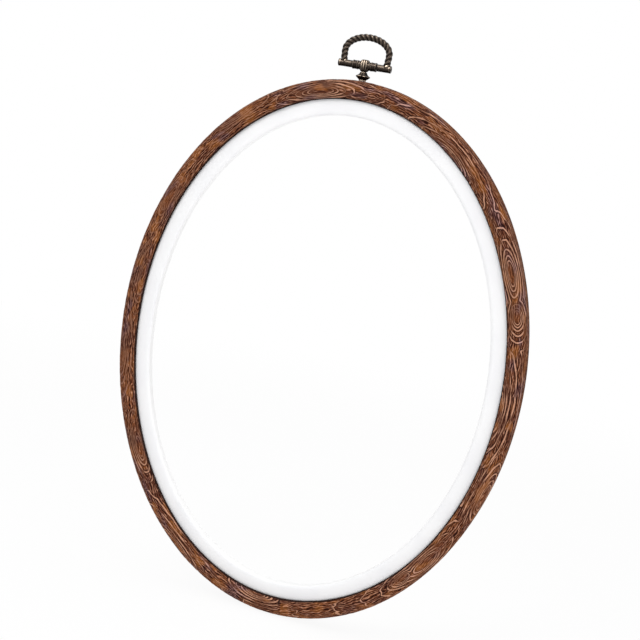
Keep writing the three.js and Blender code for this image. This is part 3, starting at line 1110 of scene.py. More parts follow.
def oval_sweep_tree(grain: Tree) -> Tree:
    """Builds the tree that sweeps a section round the oval opening and carves the grain into it.

    Args:
        grain: the wood grain as a geometry group.

    Returns:
        The tree.
    """
    tree, graph, given, sink = group_tree(
        "oval_sweep", Kind.GEOMETRY,
        {
            "Section": "NodeSocketGeometry", "Half Width": 0.07, "Half Height": 0.095,
            "Centre": (0.0, 0.0, 0.0), "Seam Turn": 0.0, "Steps Around": 720, "Section Points": 40,
            "Groove Depth": 0.0, "Ridge Depth": 0.0, "Seam Depth": 0.0,
            "Finish": "NodeSocketMaterial",
        },
        {"Geometry": "NodeSocketGeometry"},
    )
    steps, section = given["Steps Around"], given["Section"]
    circle = graph.out("GeometryNodeCurvePrimitiveCircle", {"Resolution": steps})
    factor = graph.node("GeometryNodeSplineParameter").outputs["Factor"]
    turn = graph.line(factor, FULL_TURN, given["Seam Turn"])
    on_oval = graph.combine(
        graph.times(graph.math("SINE", turn), given["Half Width"]), 0.0,
        graph.times(graph.math("COSINE", turn), given["Half Height"]),
    )
    oval = graph.out("GeometryNodeSetPosition", {"Geometry": circle, "Position": on_oval})
    oval = graph.out("GeometryNodeResampleCurve", {"Curve": oval, "Count": steps})
    length = graph.out("GeometryNodeCurveLength", {"Curve": oval})
    grid, column, row = grid_rows(graph, steps, given["Section Points"])
    along = graph.times(graph.math("DIVIDE", column, steps), length)
    station = graph.math("MODULO", column, steps)
    position = graph.out("GeometryNodeInputPosition")
    centre = sampled_at(graph, oval, position, station, True)
    heading = sampled_at(graph, oval, graph.out("GeometryNodeInputTangent"), station, True)
    out = graph.vector_math("NORMALIZE", graph.vector_math("CROSS_PRODUCT", heading, (0.0, 1.0, 0.0)))
    spot = sampled_at(graph, section, position, row, True)
    facing = sampled_at(graph, section, named_value(graph, FACING, True), row, True)
    across = sampled_at(graph, section, named_value(graph, RUN), row)
    carved = sampled_at(graph, section, named_value(graph, CARVED), row)

    masks = graph.node("GeometryNodeGroup", node_tree=grain)
    graph.feed(masks.inputs["Along"], graph.times(along, 1 / MM))
    graph.feed(masks.inputs["Across"], graph.times(across, 1 / MM))
    relief = graph.times(masks.outputs["Groove"], given["Groove Depth"])
    relief = graph.line(graph.minus(1.0, masks.outputs["Ridge"]), given["Ridge Depth"], relief)
    from_end = graph.math("MINIMUM", along, graph.minus(length, along))
    relief = graph.times(relief, graph.step(from_end, 0.0, SEAM_FADE))
    relief = graph.line(masks.outputs["Seam"], given["Seam Depth"], relief)
    sunk = graph.vector_math("SUBTRACT", spot, graph.scaled(facing, graph.times(relief, carved)))
    outwards, backwards, _ = graph.separate(sunk)
    place = graph.vector_math("ADD", centre, graph.scaled(out, outwards))
    place = graph.vector_math("ADD", place, graph.combine(0.0, backwards, 0.0))
    place = graph.vector_math("ADD", place, given["Centre"])
    mapped = graph.out(
        "GeometryNodeStoreNamedAttribute",
        {"Geometry": grid, "Name": BAND_MAP, "Value": graph.combine(along, across)},
        data_type="FLOAT2", domain="CORNER",
    )
    swept = graph.out("GeometryNodeSetPosition", {"Geometry": mapped, "Position": place})
    finished(graph, swept, given["Finish"], sink)
    return tree


def turned_tree() -> Tree:
    """Builds the tree that turns a profile about its axis, with ribs or a thread where it asks for them.

    Returns:
        The tree; the profile's x is the radius and its y the height.
    """
    tree, graph, given, sink = group_tree(
        "turned", Kind.GEOMETRY,
        {
            "Profile": "NodeSocketGeometry", "Steps Around": 48, "Profile Points": 10,
            "Ribs": 0, "Rib Depth": 0.0, "Rib Round": 1.0, "Thread Pitch": 1.0, "Thread Depth": 0.0,
            "Turn": (0.0, 0.0, 0.0), "Place": (0.0, 0.0, 0.0), "Finish": "NodeSocketMaterial",
        },
        {"Geometry": "NodeSocketGeometry"},
    )
    profile = given["Profile"]
    grid, column, row = grid_rows(graph, given["Steps Around"], given["Profile Points"])
    share = graph.math("DIVIDE", column, given["Steps Around"])
    angle = graph.times(share, FULL_TURN)
    position = graph.out("GeometryNodeInputPosition")
    radius, height, _ = graph.separate(sampled_at(graph, profile, position, row, True))
    ribbed = sampled_at(graph, profile, named_value(graph, RIBBED), row)
    half_ribs = graph.times(angle, graph.math("DIVIDE", given["Ribs"], 2.0))
    wave = graph.math("ABSOLUTE", graph.math("COSINE", half_ribs))
    valley = graph.minus(1.0, graph.math("POWER", wave, given["Rib Round"]))
    cut = graph.times(graph.times(valley, given["Rib Depth"]), ribbed)
    lead = graph.minus(graph.math("DIVIDE", height, given["Thread Pitch"]), share)
    flank = graph.math("ABSOLUTE", graph.minus(graph.math("FRACT", lead), 0.5))
    thread = graph.times(graph.times(graph.times(flank, 2.0), given["Thread Depth"]), ribbed)
    shaped = graph.larger(graph.minus(graph.minus(radius, cut), thread), 0.0)
    place = on_circle(graph, angle, shaped, height)
    swept = graph.out("GeometryNodeSetPosition", {"Geometry": grid, "Position": place})
    moved = graph.out(
        "GeometryNodeTransform",
        {"Geometry": swept, "Translation": given["Place"], "Rotation": given["Turn"]},
    )
    finished(graph, moved, given["Finish"], sink)
    return tree


def rope_tree() -> Tree:
    """Builds the tree that twists round strands about a line.

    Returns:
        The tree; the line lies in the XZ plane as a chain of edges.
    """
    tree, graph, given, sink = group_tree(
        "twisted_rope", Kind.GEOMETRY,
        {
            "Line": "NodeSocketGeometry", "Strands": 3, "Strand Radius": 0.6 * MM,
            "Strand Offset": 0.45 * MM, "Pitch": 5.4 * MM, "Steps Along": 300, "Sides": 48,
            "Place": (0.0, 0.0, 0.0), "Finish": "NodeSocketMaterial",
        },
        {"Geometry": "NodeSocketGeometry"},
    )
    offset = given["Strand Offset"]
    line = graph.out("GeometryNodeMeshToCurve", {"Mesh": given["Line"]})
    line = graph.out("GeometryNodeResampleCurve", {"Curve": line, "Count": given["Steps Along"]})
    run = graph.node("GeometryNodeSplineParameter").outputs["Length"]
    tilt = graph.times(graph.math("DIVIDE", run, given["Pitch"]), FULL_TURN)
    line = graph.out("GeometryNodeSetCurveTilt", {"Curve": line, "Tilt": tilt})
    ring = graph.out("GeometryNodeCurvePrimitiveCircle", {"Resolution": given["Sides"]})
    share = graph.node("GeometryNodeSplineParameter").outputs["Factor"]
    within = graph.math("FRACT", graph.times(share, given["Strands"]))
    sector = graph.math("DIVIDE", FULL_TURN, given["Strands"])
    off = graph.times(graph.minus(within, 0.5), sector)
    side = graph.times(graph.math("SINE", off), offset)
    radius_squared = graph.math("POWER", given["Strand Radius"], 2.0)
    chord = graph.larger(graph.minus(radius_squared, graph.math("POWER", side, 2.0)), 0.0)
    reach = graph.math("ADD", graph.times(graph.math("COSINE", off), offset), graph.math("SQRT", chord))
    corner = on_circle(graph, graph.times(share, FULL_TURN), reach)
    section = graph.out("GeometryNodeSetPosition", {"Geometry": ring, "Position": corner})
    rope = graph.out(
        "GeometryNodeCurveToMesh", {"Curve": line, "Profile Curve": section, "Fill Caps": True}
    )
    moved = graph.out("GeometryNodeTransform", {"Geometry": rope, "Translation": given["Place"]})
    finished(graph, moved, given["Finish"], sink)
    return tree


def linked(name: str, data: bpy.types.ID) -> Piece:
    """Puts a new object with the given data into the scene.

    Args:
        name: the object's name.
        data: its mesh, lamp or camera.

    Returns:
        The object.
    """
    made = bpy.data.objects.new(name, data)
    bpy.context.scene.collection.objects.link(made)
    return made


def grown(name: str, seed: bpy.types.Mesh, tree: Tree, values: dict[str, object]) -> Piece:
    """Runs a geometry tree on a seed and keeps the result as a plain mesh.

    Args:
        name: the piece's name.
        seed: what the tree starts from.
        tree: the geometry tree.
        values: its inputs by name.

    Returns:
        The object, at the origin, with no modifier left.
    """
    made = linked(name, seed)
    modifier = made.modifiers.new("build", "NODES")
    modifier.node_group = tree
    for item in tree.interface.items_tree:
        if item.item_type == "SOCKET" and item.in_out == "INPUT" and item.name in values:
            modifier[item.identifier] = values[item.name]
    settle(made)
    return made


def settle(piece: Piece) -> None:
    """Turns a piece's modifiers into plain mesh, with its faces pointing outwards.

    Args:
        piece: the object, whose mesh is replaced.
    """
    bpy.context.view_layer.update()
    graph = bpy.context.evaluated_depsgraph_get()
    mesh = bpy.data.meshes.new_from_object(
        piece.evaluated_get(graph), preserve_all_data_layers=True, depsgraph=graph
    )
    piece.modifiers.clear()
    piece.data = mesh
    mesh.name = piece.name
    if enclosed_volume(mesh) < 0:
        mesh.flip_normals()


def read_array(items: bpy.types.bpy_prop_collection, label: str, width: int, kind: type) -> np.ndarray:
    """Reads one property of a mesh's points, edges or faces.

    Args:
        items: the collection.
        label: the property's name.
        width: how many numbers each item has.
        kind: float or int.

    Returns:
        The numbers, one item a row.
    """
    flat = np.empty(len(items) * width, kind)
    items.foreach_get(label, flat)
    return flat.reshape(-1, width)


def corners_of(mesh: bpy.types.Mesh) -> np.ndarray:
    """Returns a mesh's points, one a row."""
    return read_array(mesh.vertices, "co", 3, float)


def enclosed_volume(mesh: bpy.types.Mesh) -> float:
    """Works out the volume inside a closed mesh.

    Args:
        mesh: the mesh.

    Returns:
        The volume, negative if the faces point inwards.
    """
    mesh.calc_loop_triangles()
    index = read_array(mesh.loop_triangles, "vertices", 3, int)
    a, b, c = corners_of(mesh)[index].transpose(1, 0, 2)
    return float(np.einsum("ij,ij->i", a, np.cross(b, c)).sum() / 6)


def combined(base: Piece, others: Iterable[Piece], how: Cut) -> None:
    """Joins or cuts closed pieces and removes what was joined or cut away.

    Args:
        base: the piece that is kept.
        others: what is added to it or taken from it.
        how: which of the two.
    """
    for other in others:
        modifier = base.modifiers.new("combine", "BOOLEAN")
        modifier.operation = how.value
        modifier.solver = "MANIFOLD"
        modifier.object = other
        settle(base)
        bpy.data.objects.remove(other)


def mark_crests(mesh: bpy.types.Mesh, wear_and_highlight: Union[float, np.ndarray] = 1.0,
                exposure: Union[float, np.ndarray] = 0.35, proud: np.ndarray | None = None,
                passes: int = 3) -> None:
    """Stores how far each point stands proud, plus a painted highlight on the side towards the front and the
    top: 0 in the deepest grooves, 1 on the most rubbed crests.

    Args:
        mesh: the piece's mesh.
        wear_and_highlight: how much the piece, or each of its points, is rubbed and given a painted
            highlight as a whole.
        exposure: how much of the value is a painted highlight on the side towards the front and the top.
        proud: how far each point stands proud, where that is known better than by how the surface bends.
        passes: how often the bends are evened out.
    """
    count = len(mesh.vertices)
    points = corners_of(mesh)
    normals = read_array(mesh.vertex_normals, "vector", 3, float)
    ends = read_array(mesh.edges, "vertices", 2, int)
    first, second = ends.T
    step = points[second] - points[first]
    length = np.maximum(np.linalg.norm(step, axis=1), SHORTEST_EDGE)
    bend = np.einsum("ij,ij->i", normals[second] - normals[first], step) / length ** 2
    degree = np.maximum(np.bincount(ends.ravel(), minlength=count), 1)

    def gathered(at_first: np.ndarray, at_second: np.ndarray) -> np.ndarray:
        """Averages values at the ends of the edges onto the points."""
        return (np.bincount(first, at_first, count) + np.bincount(second, at_second, count)) / degree

    bend = gathered(bend, bend)
    for _ in range(passes):
        bend = (bend + gathered(bend[second], bend[first])) / 2
    low, high = np.percentile(bend, BEND_RANGE)
    crest = (bend - low) / (high - low)
    # Painted highlight: points that face the front and the top, towards the lamps, count as more rubbed.
    facing = np.clip(normals @ np.array(HIGHLIGHT_SIDE), 0, 1)
    if proud is not None:
        crest = np.where(np.isnan(proud), crest, proud)
    crest = wear_and_highlight * ((1 - exposure) * np.clip(crest, 0, 1) + exposure * facing ** 2)
    mesh.attributes.new(CREST, "FLOAT", "POINT").data.foreach_set("value", crest.astype(np.float32))


def handed_over(piece: Piece, body: Body, node: str) -> None:
    """Tells the frame what a finished piece is.

    Args:
        piece: the finished object.
        body: the body it moves with.
        node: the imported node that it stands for.
    """
    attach(piece, body.value)
    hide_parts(node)
    LOG.info("%s: %d faces on %s", piece.name, len(piece.data.polygons), body.value)


def metal_with_wear_and_highlight(piece: Piece, body: Body, slot: Slot, node: str,
               wear_and_highlight: Union[float, np.ndarray] = 1.0, **crests: np.ndarray) -> None:
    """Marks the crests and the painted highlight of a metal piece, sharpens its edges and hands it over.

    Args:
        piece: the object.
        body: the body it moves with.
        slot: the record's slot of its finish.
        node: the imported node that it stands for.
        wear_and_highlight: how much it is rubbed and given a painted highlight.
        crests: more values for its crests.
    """
    mark_crests(piece.data, wear_and_highlight, **crests)
    piece.data.set_sharp_from_angle(angle=SHARP_ANGLE)
    handed_over(piece, body, node)


@dataclass
class Workshop:
    """What every sub-assembly needs: the materials and the geometry trees, built once and shared."""

    grain: WoodGrain
    finishes: dict[Slot, bpy.types.Material] = field(init=False)
    sweep: Tree = field(init=False)
    lathe: Tree = field(default_factory=turned_tree)
    rope: Tree = field(default_factory=rope_tree)

    def __post_init__(self) -> None:
        """Builds the materials, and the sweep on the hoop's grain."""
        effects = Effects(self.grain)
        self.finishes = {slot: finish.build(effects) for slot, finish in FINISHES.items()}
        self.sweep = oval_sweep_tree(self.grain.group(Kind.GEOMETRY))

    def turned(self, name: str, outline: Outline, slot: Slot, *, closed: bool = False,
               spacing: float = 0.12, around: int = 64, ribbed: np.ndarray | None = None,
               **values: object) -> Piece:
        """Turns a profile into a closed piece.

        Args:
            name: the piece's name.
            outline: radius and height in millimetres, from the bottom of the axis to its top.
            slot: its finish.
            closed: True for a tube, whose profile joins its own start.
            spacing: longest straight piece of the profile, in millimetres.
            around: steps round the axis.
            ribbed: rows of a height and how far the profile takes ribs or a thread there.
            values: more inputs of the tree, with _ for a space.

        Returns:
            The object.
        """
        points = outline.points(spacing, closed)
        share = np.zeros(len(points))
        if ribbed is not None:
            share = np.interp(points[:, 1], ribbed[:, 0], ribbed[:, 1])
        return grown(name, seed_mesh(name, points * MM, {RIBBED: share}), self.lathe, {
            "Steps Around": around, "Profile Points": len(points), "Finish": self.finishes[slot],
            **spaced(values),
        })


@dataclass
class OvalFrame:
    """The oval opening that both hoops follow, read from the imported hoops."""

    reach: float = 9.1
    half_width: float = field(init=False)
    half_height: float = field(init=False)
    depth: float = field(init=False)
    centre: Vector = field(init=False)

    def __post_init__(self) -> None:
        """Reads the places of both hoops."""
        low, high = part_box("inner_hoop")
        outer_low, outer_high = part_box("outer_hoop")
        self.half_width = (high.x - low.x) / 2 - self.reach * MM
        self.half_height = (high.z - low.z) / 2 - self.reach * MM
        self.depth = (outer_high.y - outer_low.y) / MM
        self.centre = Vector((0.0, outer_low.y, (high.z + low.z) / 2))

    def swept(self, shop: Workshop, name: str, points: np.ndarray, carved: np.ndarray, slot: Slot,
              steps: int, **values: object) -> Piece:
        """Sweeps a closed section round the oval.

        Args:
            shop: finishes and trees.
            name: the piece's name.
            points: distance outwards and depth, in millimetres, with the first point repeated.
            carved: how far each point takes the grain.
            slot: its finish.
            steps: steps round the oval.
            values: more inputs of the tree, with _ for a space.

        Returns:
            The object.
        """
        marks = {RUN: runs_of(points) * MM, FACING: facing_of(points), CARVED: carved}
        return grown(name, seed_mesh(name, points * MM, marks), shop.sweep, {
            "Half Width": self.half_width, "Half Height": self.half_height, "Centre": tuple(self.centre),
            "Steps Around": steps, "Section Points": len(points), "Finish": shop.finishes[slot],
            **spaced(values),
        })


@dataclass
class OuterHoop:
    """Soft vinyl hoop with relief grain, a lip over the inner hoop and the hanger's screw pocket."""

    shop: Workshop
    oval: OvalFrame
    face_width: float = 6.1
    seat: float = 9.4
    outer_edge: float = 13.7
    lip_depth: float = 2.1
    lip_thickness: float = 0.55
    lip_slope: float = 0.8
    lip_lean: float = 0.4
    lip_round: float = 0.25
    seat_round: float = 0.2
    crown_offset: float = 3.7
    shoulder_drop: float = 3.3
    back_round: float = 0.8
    groove_depth: float = 0.20
    ridge_depth: float = 0.07
    seam_depth: float = 0.15
    spacing: float = 0.33
    carve_run_in: float = 0.5
    carve_run_out: float = 0.6
    carved_share: float = 0.6
    tolerance: float = 0.01
    steps: int = 1200
    screw_bore: float = 1.0
    pocket_radius: float = 1.9
    pocket_room: float = 0.1

    def section(self) -> Outline:
        """Draws the section.

        Returns:
            The outline, from the lip over the crown and the outer side to the seat.
        """
        crown = self.face_width + self.crown_offset
        depth, drop, back = self.oval.depth, self.shoulder_drop, self.back_round
        lip_back = self.lip_depth + self.lip_thickness
        reach = self.crown_offset + self.lip_lean
        rise = self.lip_depth / (1 - math.sqrt(1 - (self.crown_offset / reach) ** 2))
        start = 180 + math.degrees(math.acos(self.crown_offset / reach))
        outline = Outline(self.face_width, lip_back, self.lip_round).to(self.face_width, self.lip_depth)
        outline.bow((crown, rise), (reach, rise), start, 270, 20)
        outline.bow((crown, drop), (self.outer_edge - crown, drop), 270, 360, 27)
        outline.to(self.outer_edge, depth - back)
        outline.bow((self.outer_edge - back, depth - back), (back, back), 0, 90, 4)
        outline.to(self.seat, depth, self.seat_round)
        return outline.to(self.seat, lip_back + self.lip_slope, self.seat_round)

    def sampled(self) -> tuple[np.ndarray, np.ndarray]:
        """Samples the section: fine where the grain is cut, coarse where it is hidden.

        Returns:
            The points, and how far each one takes the grain.
        """
        points = self.section().points(self.spacing, True, arc_steps=3)
        run = runs_of(points)
        outwards, depth = points.T
        side_end = self.oval.depth - self.back_round
        on_side = (outwards > self.outer_edge - self.tolerance) | (depth < self.shoulder_drop)
        run_in = np.clip((run - self.lip_thickness) / self.carve_run_in, 0, 1)
        run_out = np.clip((side_end - depth) / self.carve_run_out, 0, 1)
        carved = run_in * run_out * on_side
        carved[(depth >= side_end) | (run > run[-1] * self.carved_share)] = 0.0
        bends = np.linalg.norm(np.diff(directions_of(points), axis=0), axis=1) > STRAIGHT
        kept = (carved > 0) | np.concatenate([[True], bends, [True]])
        return points[kept], carved[kept]

    def build(self) -> None:
        """Sweeps the hoop, cuts the screw's pocket and bore and hands it over."""
        points, carved = self.sampled()
        hoop = self.oval.swept(
            self.shop, "outer_hoop_relief", points, carved, Slot.WOOD, self.steps,
            Seam_Turn=math.radians(self.shop.grain.seam_turn), Groove_Depth=self.groove_depth * MM,
            Ridge_Depth=self.ridge_depth * MM, Seam_Depth=self.seam_depth * MM,
        )
        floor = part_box("screw_washer")[1].z / MM + self.pocket_room
        wall = self.outer_edge - self.seat
        pocket = rod(self.pocket_radius, floor - wall, floor)
        bore = rod(self.screw_bore, floor - wall, floor + wall)
        cutters = [
            self.shop.turned("pocket", pocket, Slot.WOOD, spacing=wall),
            self.shop.turned("bore", bore, Slot.WOOD, spacing=wall),
        ]
        combined(hoop, cutters, Cut.REMOVE)
        handed_over(hoop, Body.OUTER, "outer_hoop")


@dataclass
class InnerHoop:
    """Stiff white hoop: a crowned face with a wall behind its outer edge."""

    shop: Workshop
    oval: OvalFrame
    crest_offset: float = 1.6
    crest_depth: float = 2.3
    edge_drop: float = 0.7
    shoulder_drop: float = 2.7
    wall: float = 2.0
    face_thickness: float = 3.3
    edge_round: float = 0.25
    corner_round: float = 0.5
    spacing: float = 0.8
    steps: int = 560

    def section(self) -> Outline:
        """Draws the section.

        Returns:
            The outline, from the opening's edge over the face and down the wall.
        """
        reach, depth, crest = self.oval.reach, self.oval.depth, self.crest_offset
        floor = self.crest_depth + self.face_thickness
        edge, shoulder = self.crest_depth + self.edge_drop, self.crest_depth + self.shoulder_drop
        outline = Outline(0, floor, self.edge_round).to(0, edge)
        outline.bow((crest, edge), (crest, self.edge_drop), 180, 270, 12)
        outline.bow((crest, shoulder), (reach - crest, self.shoulder_drop), 270, 360, 22)
        outline.to(reach, depth, self.edge_round).to(reach - self.wall, depth, self.edge_round)
        return outline.to(reach - self.wall, floor, self.corner_round)

    def build(self) -> None:
        """Sweeps the hoop and hands it over."""
        points = self.section().points(self.spacing, True)
        uncarved = np.zeros(len(points))
        hoop = self.oval.swept(self.shop, "inner_hoop_face", points, uncarved, Slot.WHITE, self.steps)
        handed_over(hoop, Body.INNER, "inner_hoop")


@dataclass
class Hanger:
    """Bronze hanger: rope bail with its barrels, pin, ribbed head, collars and petal cap."""

    shop: Workshop
    bail_half_width: float = 8.8
    bail_rise: float = 10.62
    bail_spring: float = 5.0
    bail_round: float = 0.5523
    bail_samples: int = 80
    leg_inset: float = 2.15
    strands: int = 3
    strand_radius: float = 0.92
    strand_offset: float = 0.40
    strand_pitch: float = 5.4
    rope_steps: int = 380
    rope_sides: int = 48
    barrel_radius: float = 1.39
    barrel_length: float = 5.5
    pin_bore: float = 0.65
    pin_radius: float = 0.55
    bead_radius: float = 2.15
    bead_height: float = 4.5
    bead_ribs: int = 12
    bead_rib_depth: float = 0.5
    rib_steps: int = 14
    boss_radius: float = 1.6
    boss_reach: float = 2.35
    neck_radius: float = 1.0
    screw_bore: float = 0.9
    screw_room: float = 0.1
    cap_bore: float = 1.05
    cap_throat: float = 0.4
    petals: int = 6
    petal_depth: float = 0.8
    petal_steps: int = 24
    # The values below scale each part's rubbed finish together with its painted highlight, and how much of
    # it faces the front and the top.
    rope_wear_and_highlight: float = 0.87
    rope_peak: float = 3.0
    rope_floor: float = 0.42
    rope_exposure: float = 0.2
    barrel_exposure: float = 0.35
    barrel_wear_and_highlight: float = 1.42
    barrel_end: float = 0.5
    barrel_end_wear_and_highlight: float = 0.85
    collar_wear_and_highlight: float = 0.95
    bead_wear_and_highlight: float = 1.25
    # The bead's painted highlight fades towards its poles and its sides, which turn darker as painted shade.
    pole_fading: float = 0.3
    side_fading: float = 0.35
    cap_wear_and_highlight: float = 1.35
    cap_foot: float = 1.3
    cap_foot_wear_and_highlight: float = 2.6
    bar_height: float = field(init=False)

    def __post_init__(self) -> None:
        """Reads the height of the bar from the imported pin."""
        low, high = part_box("axle_pin")
        self.bar_height = (low.z + high.z) / 2

    @property
    def middle(self) -> Corner:
        """The middle of the bar."""
        return (0.0, 0.0, self.bar_height)

    def along_bar(self, name: str, outline: Outline, start: float, **values: object) -> Piece:
        """Turns a bronze piece whose axis lies on the bar.

        Args:
            name: the piece's name.
            outline: radius and distance along the bar from its start, in millimetres.
            start: where it starts along the bar, in metres.
            values: more inputs of the tree.

        Returns:
            The object.
        """
        return self.shop.turned(
            name, outline, Slot.BRONZE, Turn=(0.0, math.pi / 2, 0.0),
            Place=(start, 0.0, self.bar_height), **values,
        )

    def bored(self, piece: Piece, half_length: float, *more: Piece) -> None:
        """Bores a piece along the bar for the pin.

        Args:
            piece: the object that is bored.
            half_length: how far it reaches from the middle of the bar, in millimetres.
            more: other pieces that are cut away.
        """
        reach = half_length + PAST_END
        bore = self.along_bar("bore", rod(self.pin_bore, 0, 2 * reach), -reach * MM, spacing=COARSE)
        combined(piece, [bore, *more], Cut.REMOVE)

    def bail_line(self, bar_end: float) -> np.ndarray:
        """Draws the bail's line from one foot to the other.

        Args:
            bar_end: half the length of the bar, in millimetres.

        Returns:
            Points in the plane of the hoop, in metres from the middle of the bar.
        """
        foot, side, spring = bar_end - self.leg_inset, self.bail_half_width, self.bail_spring
        top, shoulder = self.bail_rise, spring + (self.bail_rise - spring) * self.bail_round
        t = np.linspace(0, 1, self.bail_samples)[:, None]
        leg = np.array([(foot, 0.0), (side, spring / 2), (side, spring)])
        bend = np.array([(side, spring), (side, shoulder), (side * self.bail_round, top), (0.0, top)])
        lower = leg[0] * (1 - t) ** 2 + leg[1] * 2 * t * (1 - t) + leg[2] * t ** 2
        upper = bend[0] * (1 - t) ** 3 + bend[1] * 3 * t * (1 - t) ** 2
        upper = upper + bend[2] * 3 * t ** 2 * (1 - t) + bend[3] * t ** 3
        half = np.vstack([lower, upper[1:]])
        return np.vstack([half * (-1, 1), half[::-1][1:]]) * MM

    def barrel(self, side: int, bar_end: float) -> Piece:
        """Turns one barrel, with a rim at its outer end.

        Args:
            side: -1 for the left barrel, 1 for the right one.
            bar_end: half the length of the bar, in millimetres.

        Returns:
            The object.
        """
        radius, length, waist = self.barrel_radius, self.barrel_length, self.barrel_radius - 0.05
        profile = [
            (0, 0, 0), (waist, 0, 0.18), (waist, length - 0.85, 0.05), (radius, length - 0.7, 0.12),
            (radius, length, 0.18), (0, length, 0),
        ]
        if side < 0:
            profile = [(r, length - h, edge) for r, h, edge in reversed(profile)]
        outline = Outline(*profile[0]).through(profile[1:])
        start = (bar_end - length if side > 0 else -bar_end) * MM
        return self.along_bar(f"barrel_{side}", outline, start)

    def bail(self) -> None:
        """Builds the rope arch with its barrels, bored for the pin."""
        bar_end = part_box("bail")[1].x / MM
        line = self.bail_line(bar_end)
        seed = seed_mesh("bail_line", np.insert(line, 1, 0.0, axis=1), {})
        rope = grown("bail_rope", seed, self.shop.rope, {
            "Strands": self.strands, "Strand Radius": self.strand_radius * MM,
            "Strand Offset": self.strand_offset * MM, "Pitch": self.strand_pitch * MM,
            "Steps Along": self.rope_steps, "Sides": self.rope_sides, "Place": self.middle,
            "Finish": self.shop.finishes[Slot.BRONZE],
        })
        combined(rope, [self.barrel(-1, bar_end), self.barrel(1, bar_end)], Cut.JOIN)
        self.bored(rope, bar_end)
        x, y, z = corners_of(rope.data).T
        out, up = np.abs(x) / MM, z - self.bar_height
        from_end = np.minimum(bar_end - out, out - bar_end + self.barrel_length)
        # Painted highlight: the barrels get a lengthwise highlight on the side towards the front and the
        # top, less at their ends.
        on_barrel = np.where(from_end < self.barrel_end, self.barrel_end_wear_and_highlight, self.barrel_wear_and_highlight)
        on_rope = up > self.barrel_radius * MM
        wear_and_highlight = np.where(on_rope, self.rope_wear_and_highlight, on_barrel)
        to_line = np.min([np.hypot(x - across, up - height) for across, height in line], axis=0)
        reach = np.hypot(to_line, y)
        low, high = np.percentile(reach[on_rope], REACH_RANGE)
        crest = np.clip((reach - low) / (high - low), 0, 1) ** self.rope_peak
        proud = np.where(on_rope, self.rope_floor + (1 - self.rope_floor) * crest, np.nan)
        exposure = np.where(on_rope, self.rope_exposure, self.barrel_exposure)
        metal_with_wear_and_highlight(rope, Body.BAIL, Slot.BRONZE, "bail", wear_and_highlight, proud=proud, exposure=exposure)

    def pin(self) -> None:
        """Turns the pin, with a low dome at each end."""
        low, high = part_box("axle_pin")
        length, radius = (high.x - low.x) / MM, self.pin_radius
        ends = both_ends([(radius - 0.22, 0, 0.3), (radius, 0.2, 0.12)], length)
        outline = Outline(0, 0).through(ends).to(0, length)
        piece = self.along_bar("pin_domed", outline, low.x, spacing=0.5)
        metal_with_wear_and_highlight(piece, Body.BAIL, Slot.BRONZE, "axle_pin")

    def head(self) -> None:
        """Builds the ribbed bead with its boss and neck, bored for the pin and the screw."""
        half, boss, neck = self.bead_height / 2, self.boss_radius, self.neck_radius
        neck_bottom = (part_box("hanger_head")[0].z - self.bar_height) / MM
        outline = Outline(0, -half).to(neck, -half)
        outline.bow((neck, 0), (self.bead_radius - neck, half), -90, 90, 36).to(0, half)
        ribbed = np.array([(-half, 0.0), (-half * 0.9, 0.7), (0, 1.0), (half * 0.9, 0.7), (half, 0.0)])
        bead = self.shop.turned(
            "head_ribbed", outline, Slot.BRONZE, around=self.bead_ribs * self.rib_steps, ribbed=ribbed,
            Place=self.middle, Ribs=self.bead_ribs, Rib_Depth=self.bead_rib_depth * MM, Rib_Round=0.8,
        )
        length = 2 * self.boss_reach
        ends = both_ends([(boss, 0, 0.18), (boss, 0.4, 0.08), (boss - 0.14, 0.5, 0.08)], length)
        across = self.along_bar("boss", Outline(0, 0).through(ends).to(0, length), -self.boss_reach * MM)
        outline = Outline(0, neck_bottom).to(neck, neck_bottom, 0.12).to(neck, 0).to(0, 0)
        down = self.shop.turned("neck", outline, Slot.BRONZE, Place=self.middle)
        combined(bead, [across, down], Cut.JOIN)
        top = (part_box("hanger_screw")[1].z - self.bar_height) / MM + self.screw_room
        outline = rod(self.screw_bore, neck_bottom - PAST_END, top)
        well = self.shop.turned("well", outline, Slot.BRONZE, Place=self.middle, spacing=COARSE)
        self.bored(bead, self.boss_reach, well)
        x, _, z = corners_of(bead.data).T
        off_bar, off_middle = (z - self.bar_height) / (half * MM), x / (self.bead_radius * MM)
        # Painted highlight at the front middle of the bead, fading to painted shade towards its poles and
        # sides.
        wear_and_highlight = self.bead_wear_and_highlight - self.pole_fading * off_bar ** 2 - self.side_fading * off_middle ** 2
        metal_with_wear_and_highlight(bead, Body.HEAD, Slot.BRONZE, "hanger_head", wear_and_highlight)

    def collar(self, side: str) -> None:
        """Turns a collar: a short tube with a slight rim at each end.

        Args:
            side: "left" or "right".
        """
        low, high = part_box(f"collar_{side}")
        length, radius = (high.x - low.x) / MM, (high.z - low.z) / 2 / MM
        ends = both_ends([(radius - 0.06, 0, 0.2), (radius, 0.36, 0.1), (radius - 0.12, 0.5, 0.08)], length)
        outline = Outline(self.pin_bore, 0).through(ends).to(self.pin_bore, length)
        piece = self.along_bar(f"collar_{side}_rimmed", outline, low.x, closed=True)
        metal_with_wear_and_highlight(piece, Body.HEAD, Slot.BRONZE, f"collar_{side}", self.collar_wear_and_highlight)

